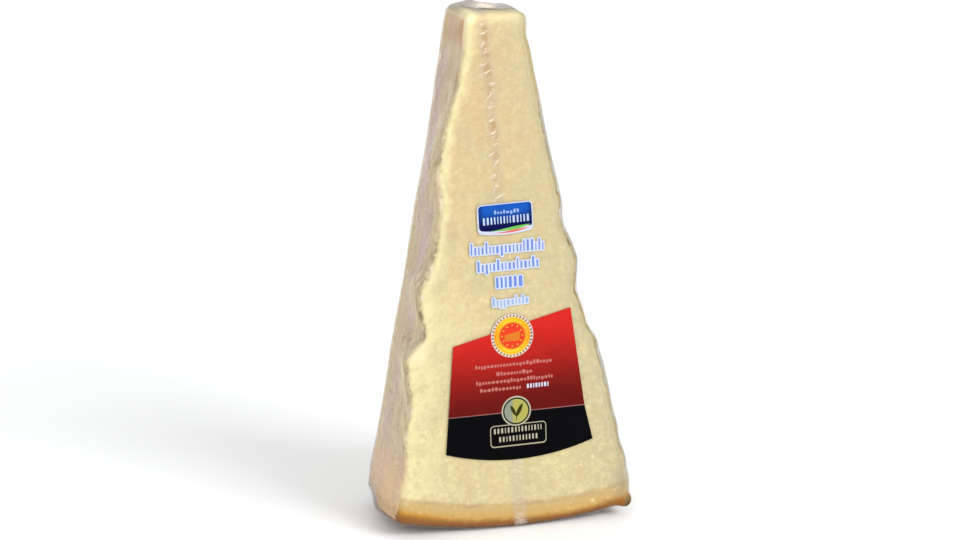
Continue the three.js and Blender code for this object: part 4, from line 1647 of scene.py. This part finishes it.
class CHEESE_OT_emblem(CheeseOperator, bpy.types.Operator):
    """Makes the emblem on the label's black field: a disc with two leaves over a framed plaque with bars"""

    bl_idname = "cheese.emblem"
    bl_label = "Emblem"

    def execute(self, context):
        hues = look("label_look")
        slot = "label_print"
        x, z, width, height, radius, turn, line = PLAQUE.values()
        rim = rounded(x, z, width, height, radius, turn)
        print_piece("plaque_frame", rim[None], hues.cream, slot, 1)
        ground = rounded(x, z + 0.08, width - 2 * line, height - 2 * line - 0.2, radius - line, turn)
        print_piece("plaque_ground", ground[None], hues.black, slot, 2)
        print_piece("plaque_bars", bar_rows(PLAQUE_ROWS), hues.cream, slot, 3)
        disc = ellipse(EMBLEM["x"], EMBLEM["z"], EMBLEM["radius"], EMBLEM["radius"], 72)
        print_piece("emblem_disc", disc[None], emblem_material(), slot, 4, rings=2)
        print_piece("emblem_leaves", [self.leaf(*leaf) for leaf in LEAVES], hues.olive, slot, 5)
        return {"FINISHED"}

    @staticmethod
    def leaf(across, upwards, size, fullness):
        """A slanting pointed leaf: a sine's half wave on both sides of its rib."""
        share = np.arange(24) / 24 * 2 * math.pi
        along = size * np.cos(share)
        away = fullness * np.sin(share) * np.abs(np.sin(share)) ** 0.6
        lean = math.atan2(2.4, across * 1.2)
        x = EMBLEM["x"] + across * 1.3 + along * math.cos(lean) - away * math.sin(lean)
        z = EMBLEM["z"] + upwards + along * math.sin(lean) + away * math.cos(lean)
        return np.stack([x, z], axis=-1)


def facing(place, target):
    """The rotation that turns a camera or a lamp at that place towards the target."""
    return (Vector(target) - Vector(place)).to_track_quat("-Z", "Y").to_euler()


class CHEESE_OT_stage(CheeseOperator, bpy.types.Operator):
    """Makes the floor, the soft lights, the sky and the camera"""

    bl_idname = "cheese.stage"
    bl_label = "Stage"

    def execute(self, context):
        scene = context.scene
        hues = look("stage_look")
        self.make_floor(hues)
        self.make_lights()
        world = bpy.data.worlds.new("studio")
        world.use_nodes = True
        background = world.node_tree.nodes["Background"]
        background.inputs["Color"].default_value = (1.0, 1.0, 1.0, 1.0)
        background.inputs["Strength"].default_value = hues.sky
        scene.world = world
        scene.view_settings.view_transform = "Standard"
        camera_data = bpy.data.cameras.new("camera")
        camera_data.lens = hues.lens
        camera_data.clip_end = 50
        camera = bpy.data.objects.new("camera", camera_data)
        camera.location = hues.camera_at
        camera.rotation_euler = facing(hues.camera_at, hues.camera_to)
        scene.collection.objects.link(camera)
        scene.camera = camera
        return {"FINISHED"}

    @staticmethod
    def make_floor(hues):
        """A level floor that rises at its far end as a quarter circle and goes on as an upright wall."""
        across = np.linspace(-4, 4, 9)
        angle = np.linspace(0, math.pi / 2, 12)
        along = np.concatenate([[-4, -1, 1.5], 2 + np.sin(angle), [3]])
        rise = np.concatenate([[0, 0, 0], 1 - np.cos(angle), [4]]) - FLOOR_GAP
        x, y = np.meshgrid(across, along)
        z = np.broadcast_to(rise[:, None], x.shape)
        points = np.stack([x, y, z], axis=-1).reshape(-1, 3)
        mesh = bpy.data.meshes.new("floor")
        mesh.from_pydata(points.tolist(), [], strip_faces(*x.shape))
        mesh.polygons.foreach_set("use_smooth", [True] * len(mesh.polygons))
        paint = Paint("floor_card")
        colour = paint.mix(paint.noise(400) * 0.03, hues.floor, (0.9, 0.9, 0.9))
        glow = paint.mix(paint.axes()[1].eased(200, 2200), (0.0, 0.0, 0.0), FLOOR_GLOW)
        inputs = {"Base Color": colour, "Roughness": 0.7, "Emission Color": glow, "Emission Strength": 1.0}
        mesh.materials.append(paint.finish(paint.principled(inputs)))
        floor = bpy.data.objects.new("floor", mesh)
        bpy.context.scene.collection.objects.link(floor)

    @staticmethod
    def make_lights():
        """A strong key from the front right and a soft fill from the front left."""
        for name, place, size, power in LIGHTS:
            data = bpy.data.lights.new(name, "AREA")
            data.size = size
            data.energy = power
            lamp = bpy.data.objects.new(name, data)
            lamp.location = place
            lamp.rotation_euler = facing(place, LIGHTS_AIM)
            bpy.context.scene.collection.objects.link(lamp)


class CHEESE_PT_panel(bpy.types.Panel):
    """Lists the operators and the property groups in the 3D view's sidebar"""

    bl_idname = "CHEESE_PT_panel"
    bl_label = "Cheese wedge"
    bl_space_type = "VIEW_3D"
    bl_region_type = "UI"
    bl_category = "Cheese"

    def draw(self, context):
        for operator in OPERATORS:
            self.layout.operator(operator.bl_idname)
        for name, group in GROUPS.items():
            box = self.layout.box()
            for key in group.__annotations__:
                box.prop(getattr(context.scene, name), key)


OPERATORS = (
    CHEESE_OT_stage,
    CHEESE_OT_body,
    CHEESE_OT_film,
    CHEESE_OT_seam,
    CHEESE_OT_gathers,
    CHEESE_OT_label,
    CHEESE_OT_small_print,
    CHEESE_OT_emblem,
    CHEESE_OT_seal,
    CHEESE_OT_badge,
    CHEESE_OT_words,
)
CLASSES = (*GROUPS.values(), *OPERATORS, CHEESE_PT_panel)


def register():
    """Adds the classes and puts the property groups on the scene."""
    for each in CLASSES:
        bpy.utils.register_class(each)
    for name, group in GROUPS.items():
        setattr(bpy.types.Scene, name, bpy.props.PointerProperty(type=group))


def unregister():
    """Takes the property groups and the classes away again."""
    for name in GROUPS:
        delattr(bpy.types.Scene, name)
    for each in reversed(CLASSES):
        bpy.utils.unregister_class(each)


def main():
    """Registers the add-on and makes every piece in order."""
    register()
    for operator in OPERATORS:
        group, name = operator.bl_idname.split(".")
        getattr(getattr(bpy.ops, group), name)()


if __name__ == "__main__":
    main()
